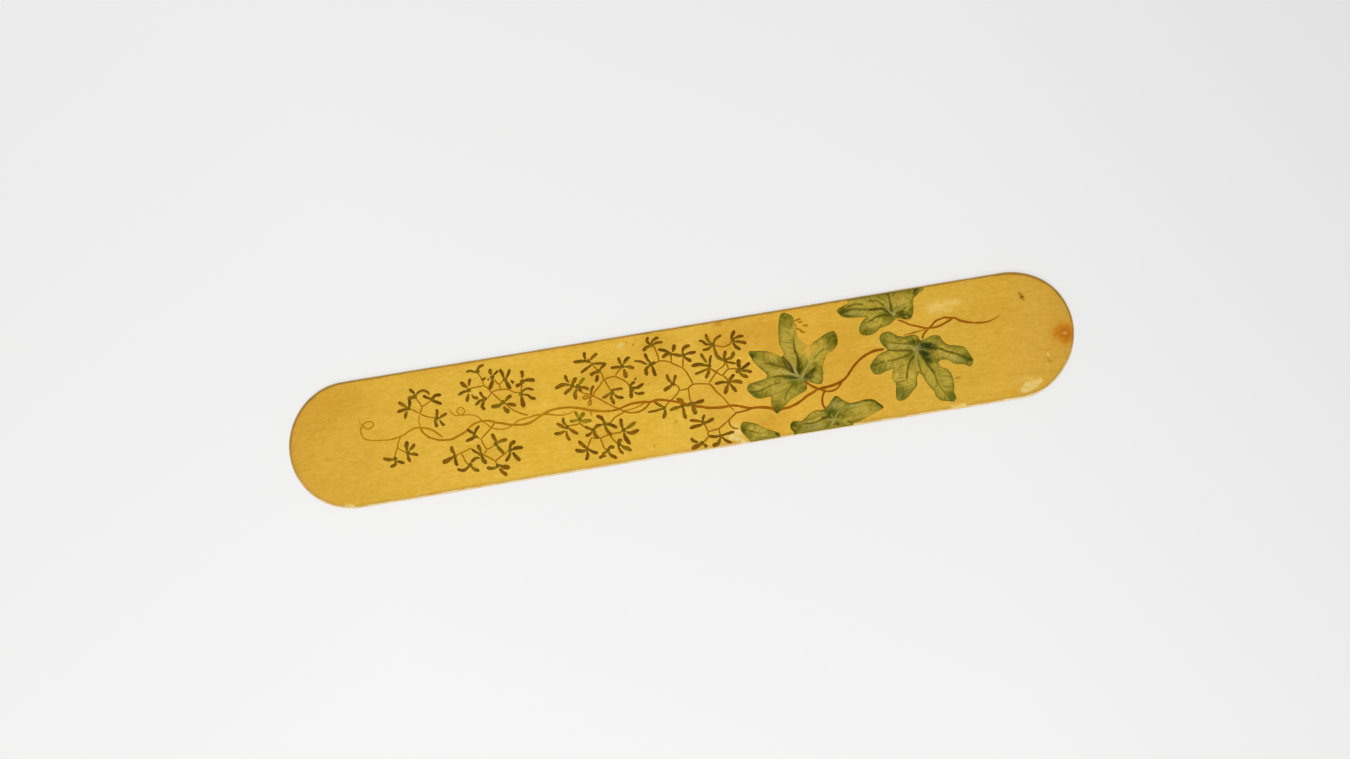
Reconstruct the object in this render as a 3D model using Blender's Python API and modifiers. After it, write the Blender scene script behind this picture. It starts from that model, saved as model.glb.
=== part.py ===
"""Paper-crafting folder: a thin varnished wooden slat with two round ends and a vine painted on its face.

The slat is one rigid piece. Every coat of paint on it is a thin solid of its own: the vine's stems, its
leaves and its sprays of small leaflets, laid over each other in the order in which they are painted.
Metres, +Z up, the slat lies on its back along X, with the origin under its middle.
"""

import math

import bmesh
import bpy
from mathutils import Vector
from mathutils.geometry import delaunay_2d_cdt

MM = 0.001
BLADE_LENGTH = 220 * MM
BLADE_WIDTH = 35 * MM
BLADE_THICKNESS = 2 * MM
EDGE_ROUNDING = 0.6 * MM
END_SKEW = 0.016  # how far each round end leans, as a share of its radius
END_STEPS = 32
WAIST = 0.12  # mm that each long side is hollow at its middle
WIDEST = 75  # mm from the middle to where the slat is widest
SIDE_STEPS = 5
PAINT_THICKNESS = 0.04 * MM
PAINT_GAP = 0.02 * MM
PAINT_LIMIT = 16.7  # mm from the middle line to where the flat face ends
LEAFLET_HALF_WIDTH = 0.55  # mm
LEAFLET_PROFILE = ((0.3, 0.42), (0.66, 1.0))
STALK_HALF_WIDTH = 0.14  # mm
MERGE = 0.00001  # mm, corners closer than this are one
SHORTEST = 0.12  # mm, the shortest step kept along an edge of paint
SMALLEST_HOLE = 0.08  # mm2, gaps in the paint smaller than this are filled

# Painted vine, all points in millimetres on the top face: x along the blade, y across it, from the blade's middle.
# Each line: half-widths at its start and end, then its points.
VINE_STEM = [
    (0.20, 0.24, [(-89.4, 6.5), (-89.3, 5.6), (-88.8, 4.8), (-87.6, 3.6), (-86.3, 3.9), (-85.7, 4.7), (-86.4, 5.5), (-87.6, 5.55), (-88.7, 4.9), (-89.45, 3.75), (-89.55, 3), (-89.25, 1.75), (-88.5, 0.9), (-87.25, 0.4), (-85.6, 0.05), (-83.5, -0.2), (-81.5, -0.3), (-80, -0.1), (-78.75, 0.15), (-77.5, 0.55), (-76.25, 1.2), (-75, 1.6), (-74, 1.75), (-73, 1.6), (-71.75, 1.3), (-70, 0.5), (-69, -0.4), (-68, -1.4), (-67.4, -2.1)]),
    (0.24, 0.30, [(-73, 1.6), (-72.75, 0.5), (-72, -0.5), (-71, -1.5), (-69.75, -2.1), (-68.25, -2.7), (-66.75, -2.9), (-65.25, -3), (-64.25, -2.8), (-62.75, -2.25), (-61, -1.6), (-59.75, -0.6), (-58.5, 0.1), (-57, 0.55), (-55.25, 0.6), (-53.75, 0.3), (-52.25, -0.4), (-50.5, -0.9), (-48.5, -1.6), (-46.5, -2), (-44.75, -2.2), (-43, -2.05), (-41.5, -1.5), (-40, -0.75), (-38.75, -0.25), (-37.25, 0.3), (-35.75, 0.55), (-33.75, 0.6), (-31.75, 0.45), (-30, 0.1), (-28, -0.5), (-26, -1.3), (-24.25, -1.75), (-22, -2.25), (-20, -2.45)]),
    (0.30, 0.44, [(-20, -2.45), (-18, -2.3), (-16.5, -1.9), (-14.5, -1.45), (-12.5, -1.4), (-10.75, -1.5), (-9, -1.8), (-7.5, -1.5), (-5.75, -1.75), (-4, -2.25), (-2.5, -2.75), (-1.4, -3.1), (0.9, -4.1), (3.25, -5), (5, -5.5), (6.5, -6), (8.5, -6.3), (10.75, -6.5), (12.75, -6.4), (14.5, -6.75), (16.25, -7.4), (18, -8), (20, -8.1), (21.75, -8.4), (23.5, -8.9), (25, -9.7), (27, -9.6), (28.75, -9.5), (30.5, -9), (32.25, -8.25), (34, -7.25), (35.25, -6.75), (37, -6)]),
    (0.44, 0.38, [(37, -6), (38.75, -5.75), (40.75, -5.6), (42.75, -5.25), (44.5, -4.6), (45.75, -3.75), (47, -2.4), (48.25, -1.1), (49.75, 0.1), (51.5, 1.1), (53.25, 1.75), (55, 2.1), (57.25, 2.05)]),
    (0.22, 0.24, [(-17.5, -2.6), (-16.5, -3.25), (-15, -3.8), (-13.25, -4), (-11.5, -3.6), (-10.25, -2.9), (-9.25, -2)]),
    (0.14, 0.14, [(-17.6, -2.5), (-16.6, -2.95), (-14.5, -2.9), (-12.25, -2.4), (-10.5, -1.7)]),
    (0.18, 0.14, [(-25.75, -1.2), (-25.85, -2.1), (-25.75, -3)]),
    (0.20, 0.20, [(13.5, -8.5), (15, -8.6), (17, -8.4), (18.5, -8.1)]),
    (0.24, 0.24, [(38, -6.1), (39.25, -6.75), (40.75, -7), (42.5, -6.6), (43.5, -5.75), (44.3, -4.9)]),
    (0.28, 0.28, [(34, -3), (35.25, -4.25), (36.5, -5.25), (38, -6)]),
    (0.24, 0.30, [(39.4, -6.3), (38.4, -7.75), (38, -9), (38, -10.5), (38.6, -11.6)]),
]
VINE_TENDRIL = [
    (0.16, 0.22, [(-64.6, 5.5), (-63.9, 4.3), (-62.9, 3.3), (-61.6, 3.25), (-60.5, 3.6), (-60.25, 4.5), (-60.9, 5.25), (-61.8, 5.2), (-62.35, 4.4), (-62.0, 3.6), (-61.0, 3.1), (-59.75, 3), (-58.25, 2.75), (-57, 2.1), (-56.25, 1.25), (-55.5, 0.25), (-54.6, -0.6), (-53.5, -1.75), (-51.5, -2.4), (-50, -2.55), (-48.75, -2.3), (-47.75, -1.9), (-46.5, -1.1), (-44.75, -0.7), (-42.5, -0.4), (-40.5, -0.2), (-39, -0.4), (-37.5, -0.55), (-35.5, -1.1), (-33.25, -1.45), (-31.5, -1.2), (-30, -0.9)]),
]
VINE_RUNNER = [
    (0.24, 0.30, [(68.1, 3), (68.6, 4.25), (70, 5.5), (71.25, 6.4), (72.5, 7.4), (74, 7.8), (75.25, 8), (76.75, 7.6), (78, 7.4), (79, 6.6), (81, 5.75), (83, 5.2)]),
    (0.30, 0.14, [(83, 5.2), (85.25, 4.9), (87.25, 5), (89, 5.5), (90.5, 6.2)]),
    (0.22, 0.26, [(62.5, 9.25), (64, 8.4), (65.5, 7.5), (67.5, 6.75), (69.25, 6), (70.75, 5.8), (72.25, 5.75), (74, 6.1), (75.75, 6.75), (77.25, 7.3)]),
    (0.14, 0.14, [(64, 5.1), (67, 5.4), (70, 5.5)]),
]

# Leaves: outline, then midribs (each from its tip to the leaf's heart).
LEAF_STAR = [(68.3, 2.8), (69.8, 3.4), (71.8, 3.6), (73, 3), (73.8, 1.5), (75, 0.4), (77, -0.1), (79, -0.8), (80, -2.2), (81, -4.5), (80.9, -5.5), (80, -6.5), (78, -5.6), (75.8, -5.1), (74.5, -4), (73.3, -3.5), (71.8, -3.7), (71.5, -4.3), (72.3, -5.5), (73.8, -6.5), (74.6, -8.3), (74.8, -10.5), (74.4, -12.8), (74.8, -14.5), (73.8, -15.5), (72.3, -15), (70.5, -14.5), (69.3, -13.3), (68.9, -11.8), (67.8, -10), (67, -8.5), (66.5, -6.8), (66, -6.4), (65.5, -6.2), (64.8, -7.8), (64.5, -9.5), (62.8, -11), (61, -12.5), (59.3, -12.9), (58.4, -12), (58.5, -9.8), (58.9, -8), (58, -6.5), (58.3, -5), (58.8, -3.8), (57, -4), (55.3, -4.6), (53.5, -4.4), (52.8, -3.3), (52.6, -2), (53.5, -0.8), (55.3, 0.8), (57.8, 1.6), (57.9, 2), (57, 3.2), (56.4, 5), (57, 6.3), (58.5, 6.8), (60, 6.3), (61.5, 5.1), (63.5, 4.6), (65.8, 4.8), (67, 4), (67.4, 3)]
LEAF_MIDDLE = [(29.6, 5.7), (28.8, 8), (29.2, 12.2), (30, 15.5), (31.2, 16.6), (32.8, 15.9), (33.8, 14.8), (34, 12), (34.3, 9.5), (35.3, 7.5), (36.8, 6.6), (38.3, 7.2), (40.5, 8.3), (42, 9), (44.2, 9.3), (44.9, 7.8), (44.8, 5.8), (43.3, 4), (41.3, 3), (39.8, 0.5), (39.5, -1.8), (39, -4), (38, -4.6), (36.5, -4.1), (35.2, -3.4), (34.3, -3), (34.5, -4.3), (34.4, -5.2), (33.2, -6.1), (31.3, -6.8), (28.8, -8), (26.5, -9.8), (25, -10.8), (24, -9), (23.9, -7.3), (24, -5.8), (21.5, -5.9), (20, -5.6), (19, -4.5), (17.9, -2.8), (19, -1.3), (22.5, -0.8), (23.9, -0.4), (23.9, 0.6), (23.2, 1.5), (21.5, 3.5), (20.5, 5.5), (20, 7.5), (21.3, 7.5), (25, 6.8), (27.5, 5.5), (28.8, 4.7), (29.4, 5)]
LEAF_TOP = [(51, 17.3), (49.5, 16.3), (46.8, 15.3), (46, 14.5), (47, 13), (48.5, 12.3), (51.3, 11.9), (53.7, 11.6), (52.3, 10.6), (51.4, 9.2), (51.2, 7.8), (52, 6.9), (53.5, 6.5), (55.3, 6.9), (57.3, 8), (59.8, 8.5), (61.3, 9.4), (62.3, 9.9), (63.8, 9.3), (65.5, 9.1), (66.7, 10.3), (67.1, 12), (67.4, 14.3), (68.8, 15.5), (69.8, 17.3)]
LEAF_BOTTOM = [(28, -15), (29, -13.5), (31.5, -13.8), (33.3, -12.6), (35.5, -11.5), (37.5, -11.7), (39, -11), (40.5, -9.5), (42, -8.5), (43.5, -9.8), (45, -10.9), (46.8, -11.1), (49.3, -10.8), (51.5, -11), (53, -12), (54.5, -13.8), (53, -14.5), (50.8, -15.3), (48.3, -16.3), (45.5, -16.8), (44, -17.3), (30, -17.3), (28.8, -16.5)]
LEAF_SMALL = [(14.3, -13), (15, -11.7), (16, -11.4), (18.8, -12.5), (21.3, -14.2), (23.3, -15.2), (24.8, -16.3), (24.2, -17.3), (17.5, -17.3), (16, -16.2), (14.8, -14.6)]

# Sprays of small leaflets: stalks as polylines, then florets as a centre and the tips of its leaflets.
SPRAY_A = (
    [[(-73, 1.6), (-73.4, 4), (-72.5, 5.4)], [(-72.5, 5.4), (-74.5, 6.9), (-75.5, 7.3)], [(-72.5, 5.4), (-72, 6.5), (-71.75, 7.25), (-72.75, 9.5), (-73.2, 10.3)], [(-71.75, 7.25), (-70, 7.9), (-68.5, 8.9)], [(-72.5, 5.4), (-71, 4.4), (-69.5, 3.9), (-68, 3.4)]],
    [((-75.5, 7.3), [(-77.75, 9.6), (-78.75, 7), (-76.9, 4.75), (-74.75, 9.6)]), ((-73.2, 10.3), [(-74.25, 12.75), (-75.25, 10.25), (-70.6, 11.8)]), ((-68.5, 8.9), [(-71, 10.25), (-65.9, 9.75), (-66.4, 7)]), ((-68, 3.4), [(-67.9, 6.1), (-65.25, 4.4), (-66.4, 1.25), (-68.5, 1.1)])],
)
SPRAY_B = (
    [[(-78.75, 0.1), (-79.75, -1.4), (-80.25, -2.9), (-81, -4.25), (-81.4, -5.6)], [(-80.25, -2.9), (-79.25, -3.75), (-77.7, -4.6)]],
    [((-81.4, -5.6), [(-84.6, -5.25), (-82.9, -7.75), (-79.1, -7.25)]), ((-77.7, -4.6), [(-77.5, -1.4), (-75.5, -2.6), (-75, -5.6), (-77.4, -7.25)])],
)
SPRAY_C = (
    [[(-43, 0.1), (-44.5, 0.75), (-46, 1.6), (-47.25, 2.5), (-49, 4.6), (-50.1, 5.6), (-51.25, 7), (-52, 8), (-53, 9.5), (-53.75, 10.25), (-54, 11.25), (-54.4, 13), (-55.1, 14.9)], [(-53.75, 10.2), (-57, 10.1), (-58.2, 9.7)], [(-52, 8), (-53.25, 6.75), (-54.4, 7)], [(-52, 8), (-50.5, 8.4), (-48.25, 8.25), (-47, 7.9), (-45.75, 7), (-44, 6.75)], [(-51.25, 12.25), (-50.5, 11), (-49.6, 9.9), (-48.75, 10.4), (-47.75, 11.25)], [(-49.6, 9.9), (-49.3, 8.3)], [(-44, 6.75), (-43, 9.9)]],
    [((-55.1, 14.9), [(-57.9, 14.9), (-52.9, 16), (-55, 13)]), ((-58.2, 9.7), [(-59.9, 12.25), (-57.25, 12.75), (-61.1, 9), (-59, 6.75), (-56.25, 7.25)]), ((-54.4, 7), [(-55.25, 9.4), (-57, 5.25), (-54.75, 3.75)]), ((-51.25, 12.25), [(-51.4, 14.65), (-49.25, 13.6), (-54.1, 11.9), (-52.25, 9.6)]), ((-47.75, 11.25), [(-48.6, 14), (-46.1, 13.6), (-46.75, 8.25), (-45.5, 9.75)]), ((-43, 9.9), [(-42.75, 12.75), (-39.6, 9.5), (-45.1, 8.75)]), ((-44, 6.75), [(-40.5, 7), (-40.4, 4.4), (-44, 2.5)]), ((-49, 4.6), [(-46.75, 6.5), (-52.75, 4.1), (-45.9, 3.25), (-48, 1.75)])],
)
SPRAY_D = (
    [[(-52.25, -0.25), (-54, -1.9), (-55.75, -3.25), (-57, -4.25)], [(-57, -4.25), (-58.9, -3.1)], [(-57, -4.25), (-56.5, -6), (-55.75, -7.25), (-54, -6.75), (-53, -6.3)], [(-65.2, -7.9), (-64.25, -7.5), (-63.25, -7.25), (-61, -6.5), (-60.25, -6.4), (-59.2, -7.2), (-58, -8.25)], [(-63, -7.3), (-62.1, -10), (-61.4, -10.75)], [(-58, -8.25), (-56.5, -8.9), (-54, -10.9)], [(-57, -8.6), (-55.75, -7.25)], [(-53.75, -11.9), (-54, -10.9), (-52, -9.75), (-49.6, -8.5)]],
    [((-58.9, -3.1), [(-60.4, -0.9), (-56.9, -0.6), (-61.3, -4.1)]), ((-53, -6.3), [(-53.9, -3.25), (-50, -5.5), (-51.4, -9.3)]), ((-65.2, -7.9), [(-65.6, -4.9), (-68.5, -9), (-64.75, -10.5)]), ((-58, -8.25), [(-60.25, -6.2), (-58.1, -5.75), (-57, -11.1), (-59.75, -9.75)]), ((-61.4, -10.75), [(-64.75, -11.8), (-59, -13), (-58.25, -9.9)]), ((-49.6, -8.5), [(-47.75, -6.1), (-45.9, -8.5), (-47.1, -11.9), (-51.4, -11.4)]), ((-53.75, -11.9), [(-56.9, -12.25), (-50.4, -13.25), (-51.5, -15.25)])],
)
SPRAY_F = (
    [[(-17.5, -2.5), (-19.5, -1.25), (-21.25, 0), (-22.75, 1.25), (-24.5, 2.5), (-26, 3.25), (-27.5, 4), (-29.75, 6.5)], [(-27.2, 3.9), (-27.5, 6)], [(-24.5, 2.5), (-23.6, 3.7), (-22.1, 5), (-21.25, 6), (-20, 6.6), (-18.5, 6.8), (-17.5, 6.75), (-16, 5.75), (-14.75, 4.75), (-13.6, 2.75)], [(-17.5, 6.75), (-16.9, 7.6), (-15, 9.4)], [(-20.9, 6.3), (-21, 8), (-22, 9.25)], [(-20.6, 6.3), (-19.9, 4.5), (-19.1, 2.4)], [(-22, 9.25), (-24, 12.25)], [(-24.3, 2.5), (-25.9, 2.1), (-26.9, 2.0), (-27.3, 2.4), (-26.6, 2.8), (-25.6, 2.5)], [(-25.0, 2.2), (-25.7, 1.2), (-26.1, 0.4), (-25.7, 0.0), (-25.3, 0.6), (-25.2, 1.6)]],
    [((-29.75, 6.5), [(-31.1, 9.1), (-34.5, 6.4), (-32.1, 4.25), (-29.4, 2.5), (-28.25, 8.25)]), ((-27.5, 6), [(-26, 7.75), (-25.4, 4.75)]), ((-24, 12.25), [(-25, 14.9), (-21.5, 13.9), (-28.25, 12.6), (-26.6, 9.25), (-19.5, 10.9)]), ((-22, 9.25), [(-24.9, 8.3), (-23, 6.25), (-19.6, 10.75)]), ((-15, 9.4), [(-15.9, 11.75), (-12.75, 11.5), (-18.25, 9.4), (-12, 8.25), (-14.6, 6)]), ((-19.1, 2.4), [(-16, 3.4), (-22, 1.5), (-19.25, -0.5), (-16.4, 0.6)]), ((-13.6, 2.75), [(-12.25, 5.4), (-10.25, 3.6), (-10.5, 1), (-14.1, 0.2)]), ((-24.9, 2.7), [(-24.2, 5)])],
)
SPRAY_G = (
    [[(-16.75, -3.4), (-18.5, -4), (-19.75, -4.6), (-21, -5.6), (-22.75, -5.6)], [(-33.25, -4.75), (-31.75, -4.6), (-29.5, -4.5), (-29.25, -3.25)], [(-29.4, -4.4), (-27.6, -6), (-25.6, -6.75)], [(-24.5, -9.4), (-25.6, -9.3), (-26.75, -9), (-27.6, -10.25), (-28.25, -11.5)], [(-25.6, -6.75), (-25.2, -8.2), (-24.5, -9.4), (-22.75, -9), (-21.2, -8.7), (-18.75, -8.75), (-17.75, -8)], [(-24.4, -9.5), (-24, -11), (-23.75, -12.25), (-22.9, -13.25)], [(-21.7, -8.8), (-21.25, -9.75), (-20.5, -11), (-19.75, -11.75)], [(-22.75, -5.6), (-25.6, -6.75)]],
    [((-29.25, -3.25), [(-30, -1), (-27.5, -1.75), (-31.75, -3.25), (-26, -4)]), ((-33.25, -4.75), [(-33.6, -2.25), (-35.6, -3.6), (-36.75, -6.1), (-33, -8.5), (-30.25, -7.1)]), ((-25.6, -6.75), [(-28, -5.75), (-28.4, -8), (-25.1, -9.1), (-23.75, -5.6)]), ((-22.75, -5.6), [(-24.25, -3.25), (-19.4, -7.25), (-21.25, -9.25)]), ((-17.75, -8), [(-18, -5.1), (-14.1, -6.6), (-13.5, -8.9), (-16.6, -12.1)]), ((-28.25, -11.5), [(-30.5, -9.25), (-31.6, -11.5), (-29.25, -14.4), (-25.75, -13.25)]), ((-22.9, -13.25), [(-20.9, -12.3), (-25.5, -14.6), (-21, -15.5)]), ((-19.75, -11.75), [(-18.6, -10.0), (-16.5, -14.1), (-19, -14.6)])],
)
SPRAY_H = (
    [[(-5.5, -4), (-4.5, -2.75), (-2.5, -1.5), (-1.25, -0.4), (-0.9, 1.25), (-2.1, 2.4)], [(-1.7, -0.8), (-1.2, -2.6), (-0.6, -4.2)]],
    [((-5.5, -4), [(-8, -1.5), (-10.1, -4.4), (-6.25, -6.75)]), ((-0.6, -4.2), [(-4, -4.9), (-1.6, -2.25), (-0.1, -8)]), ((-2.1, 2.4), [(-3.4, 5.1), (-1, 4.5), (-4.75, 0.6)])],
)
SPRAY_J = (
    [[(-6, 14.1), (-5.5, 13), (-4.9, 10.25), (-5, 9), (-5.75, 8.75), (-7.25, 8.75)], [(-5, 9), (-4.25, 9), (-2.5, 8.5), (-0.75, 7.4), (1.25, 6.1), (1.5, 5.75), (2.25, 4.25), (2.9, 2.5), (3.2, 1.7)], [(-1.4, 10.25), (-1.4, 9.25), (-1.5, 7.9)], [(2.25, 10), (1.9, 9), (1.4, 6.1)]],
    [((-6, 14.1), [(-7.4, 16), (-4, 15.5), (-2.95, 14.2), (-8.6, 12.6)]), ((-7.25, 8.75), [(-8.6, 11.5), (-11.5, 10.4), (-8.9, 5.75), (-6.5, 5.1), (-6, 10.2)]), ((-1.4, 10.25), [(-4.6, 12.25), (-0.1, 12.75), (-3.6, 10.1), (0.5, 9.75)]), ((2.25, 10), [(4, 12), (5.6, 10), (0, 10), (4.1, 7.5)])],
)
SPRAY_K = (
    [[(2.25, -4), (1.9, -2.75), (1.9, -0.75), (2, 0.25), (3.4, 1.1), (5.5, 0.9), (7.75, 0.5)], [(-0.4, 0.25), (0.6, 0.2), (2, 0.25)], [(7.75, 0.5), (8.75, 1.75), (10, 3), (11, 4), (12.75, 4.9), (13, 6.5)], [(10, 4), (10.75, 3), (11.75, 2.25), (12.75, 3), (13.75, 3.6), (15.5, 3.5), (16.75, 3)], [(13.75, 3.6), (13.6, 4.75), (13, 6.5)], [(11.9, 2.2), (12.75, 1.25), (13.25, 0.25)], [(7.75, 0.5), (8.5, -0.25), (9.5, -2), (10.75, -3.5), (12, -5.5), (12.75, -7), (13.6, -7.9)], [(10.1, 3.3), (9.0, 4.6), (8, 5.75)], [(13, 6.5), (12.6, 8.6), (12.2, 10.3)], [(10.5, 11.25), (11.75, 10.5), (13.5, 10), (15.4, 10.5), (15.6, 11.2)]],
    [((2.25, -4), [(5.5, -3.75), (2.6, -7.25), (0, -4.25)]), ((10.5, 11.25), [(9, 14.4), (6.9, 12.6), (7.6, 10.1), (13.1, 13.25), (11, 8.75)]), ((15.6, 11.2), [(17, 13.9), (19.25, 12.25), (19.75, 9.6), (18, 8.5)]), ((13, 6.5), [(11, 8.25), (13.5, 8.95), (16, 8), (15.6, 6.4)]), ((8, 5.75), [(6.9, 9.1), (9.5, 8), (3.9, 6.25), (4.5, 3.9), (7.1, 2.4)]), ((16.75, 3), [(16.75, 5.9), (19.75, 4.4), (20, 2), (18.5, 0.75)]), ((13.25, 0.25), [(15, 2.2), (9.4, 0.4), (16.75, -0.5), (11.6, -2.9), (14.75, -2.75)])],
)
SPRAY_M = (
    [[(14, -8.6), (11.75, -10.1), (8.75, -12), (5.75, -12.4), (5, -11), (4.25, -9.75)], [(5.75, -12.4), (5.4, -13.75), (4.4, -14.8), (3.25, -15.25)], [(8.6, -12.1), (8.5, -13.25), (8.6, -14.5)], [(11.75, -10.1), (11.6, -11.5), (12.5, -12.6), (13.9, -13.1)]],
    [((4.25, -9.75), [(0.9, -8.5), (0.5, -10.6), (4.75, -7.5), (7.4, -9.25)]), ((8.6, -14.5), [(5.4, -13.6), (12.25, -13.5), (5.75, -16.6), (11.25, -16.5)]), ((3.25, -15.25), [(0.4, -13.75), (0.1, -16.5), (4.0, -16.9), (5.4, -13.6)])],
)


def smooth(points, per_segment):
    """Catmull-Rom curve through the points, per_segment steps between neighbours."""
    if per_segment < 2 or len(points) < 3:
        return [Vector(p) for p in points]
    p = [Vector(q) for q in points]
    p = [2 * p[0] - p[1]] + p + [2 * p[-1] - p[-2]]
    out = []
    for a, b, c, d in zip(p, p[1:], p[2:], p[3:]):
        for k in range(per_segment):
            t = k / per_segment
            out.append(0.5 * (2 * b + (c - a) * t + (2 * a - 5 * b + 4 * c - d) * t * t + (3 * b - a - 3 * c + d) * t**3))
    return out + [p[-2]]


def ribbon(points, start, end, per_segment=1):
    """A line of paint as four-sided patches: half-width start at its first point, end at its last."""
    p = smooth(points, per_segment)
    sides = []
    for i, q in enumerate(p):
        along = (p[min(i + 1, len(p) - 1)] - p[max(i - 1, 0)]).normalized()
        half = start + (end - start) * i / (len(p) - 1)
        across = Vector((-along.y, along.x)) * half
        sides.append((q + across, q - across))
    patches = [[b0, b1, a1, a0] for (a0, b0), (a1, b1) in zip(sides, sides[1:])]
    for tip, inner, half in ((p[0], p[1], start), (p[-1], p[-2], end)):
        patches.append(disc(tip, half, 6, math.atan2(*(tip - inner).yx)))
    return patches


def disc(centre, radius, sides=6, turn=0.0):
    return [
        Vector((centre[0] + radius * math.cos(turn + math.tau * k / sides), centre[1] + radius * math.sin(turn + math.tau * k / sides)))
        for k in range(sides)
    ]


def leaflet(base, tip):
    """One brush dab: narrow at the floret's centre, full at two thirds, pointed at its tip."""
    base, tip = Vector(base), Vector(tip)
    along = tip - base
    length = along.length
    along.normalize()
    across = Vector((-along.y, along.x))
    half = LEAFLET_HALF_WIDTH * min(1.0, 0.45 + 0.22 * length)
    right = [base + along * length * f - across * half * w for f, w in LEAFLET_PROFILE]
    left = [base + along * length * f + across * half * w for f, w in reversed(LEAFLET_PROFILE)]
    return [base - along * 0.1, *right, tip, *left]


def kept_below_edge(loop):
    """The loop, cut where it would run onto the rounded edge of the blade."""
    for sign in (1, -1):
        cut, out = PAINT_LIMIT, []
        for a, b in zip(loop, loop[1:] + loop[:1]):
            ya, yb = a[1] * sign, b[1] * sign
            if ya <= cut:
                out.append(Vector(a))
            if (ya - cut) * (yb - cut) < 0:
                out.append(Vector(a).lerp(Vector(b), (cut - ya) / (yb - ya)))
        loop = out
    return loop


def rim_loops(faces):
    """The borders of a patchwork of faces, each as a closed list of corner numbers."""
    used = {(a, b) for f in faces for a, b in zip(f, f[1:] + f[:1])}
    onward = {}
    for a, b in used:
        if (b, a) not in used:
            onward.setdefault(a, []).append(b)
    loops = []
    while onward:
        first = min(onward)
        loop, at = [], first
        while True:
            loop.append(at)
            nexts = onward[at]
            following = nexts.pop()
            if not nexts:
                del onward[at]
            at = following
            if at == first:
                break
        loops.append(loop)
    return loops


def eased(points):
    """The loop without steps shorter than SHORTEST and without corners that hardly turn."""
    kept = []
    for p in points:
        if not kept or (p - kept[-1]).length > SHORTEST:
            kept.append(p)
    while len(kept) > 3 and (kept[0] - kept[-1]).length < SHORTEST:
        kept.pop()
    i = 0
    while len(kept) > 3 and i < len(kept):
        a, b, c = kept[i - 1], kept[i], kept[(i + 1) % len(kept)]
        if abs((b - a).cross(c - b)) < 0.01 * (c - a).length:
            kept.pop(i)
        else:
            i += 1
    return kept


def loop_area(points):
    return sum(a.cross(b) for a, b in zip(points, points[1:] + points[:1])) / 2


def within(point, loops):
    odd = False
    for loop in loops:
        for a, b in zip(loop, loop[1:] + loop[:1]):
            if (a.y > point.y) != (b.y > point.y) and point.x < a.x + (point.y - a.y) / (b.y - a.y) * (b.x - a.x):
                odd = not odd
    return odd


def pinches(faces):
    """Corners where two parts of the rim meet."""
    used = {(a, b) for f in faces for a, b in zip(f, f[1:] + f[:1])}
    leaving = {}
    for a, b in used:
        if (b, a) not in used:
            leaving[a] = leaving.get(a, 0) + 1
    return [v for v, n in leaving.items() if n > 1]


def joined(patches):
    """The union of flat loops, as corners and triangles. Where two arms only touch, a dot of paint joins them."""
    patches = [kept_below_edge(p) for p in patches]
    patches = [p for p in patches if len(p) > 2]
    for _ in range(8):
        points, loops = [], []
        for p in patches:
            loops.append(list(range(len(points), len(points) + len(p))))
            points += p
        verts, _, faces, _, _, origin = delaunay_2d_cdt(points, [], loops, 0, MERGE, True)
        faces = [f for f, o in zip(faces, origin) if o]
        touching = [verts[v] for v in pinches(faces)]
        if not touching:
            rims = [eased([verts[i] for i in loop]) for loop in rim_loops(faces)]
            rims = [r for r in rims if len(r) > 2 and abs(loop_area(r)) > SMALLEST_HOLE]
            points, edges = [], []
            for r in rims:
                n = len(points)
                edges += [(n + k, n + (k + 1) % len(r)) for k in range(len(r))]
                points += r
            verts, _, faces, _, _, _ = delaunay_2d_cdt(points, edges, [], 0, MERGE, True)
            faces = [f for f in faces if within((verts[f[0]] + verts[f[1]] + verts[f[2]]) / 3, rims)]
            touching = [verts[v] for v in pinches(faces)]
            if not touching:
                return verts, faces
        patches = patches + [disc(v, 0.15) for v in touching]
    return verts, faces


def paint_material(name, colour, roughness):
    material = bpy.data.materials.new(name)
    material.use_nodes = True
    shader = material.node_tree.nodes["Principled BSDF"]
    shader.inputs["Base Color"].default_value = (*colour, 1.0)
    shader.inputs["Roughness"].default_value = roughness
    material.diffuse_color = (*colour, 1.0)
    return material


def film(name, patches, layer, colour):
    """A coat of paint: the joined patches, thickened upwards by Solidify."""
    verts, faces = joined(patches)
    mesh = bpy.data.meshes.new(name)
    bm = bmesh.new()
    made = [bm.verts.new((v.x * MM, v.y * MM, 0.0)) for v in verts]
    for f in faces:
        bm.faces.new([made[i] for i in f])
    bmesh.ops.delete(bm, geom=[v for v in bm.verts if not v.link_faces], context="VERTS")
    for f in bm.faces:
        f.normal_update()
        if f.normal.z < 0:
            f.normal_flip()
    bm.to_mesh(mesh)
    bm.free()
    piece = bpy.data.objects.new(name, mesh)
    collection.objects.link(piece)
    piece.location.z = layer_height(layer)
    thick = piece.modifiers.new("paint thickness", "SOLIDIFY")
    thick.thickness = PAINT_THICKNESS
    thick.offset = 1.0
    mesh.materials.append(paint_material(name + "_paint", colour, 0.45))
    piece.parent = root
    return piece


def layer_height(layer):
    return BLADE_THICKNESS + PAINT_GAP + layer * (PAINT_THICKNESS + PAINT_GAP)


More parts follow.
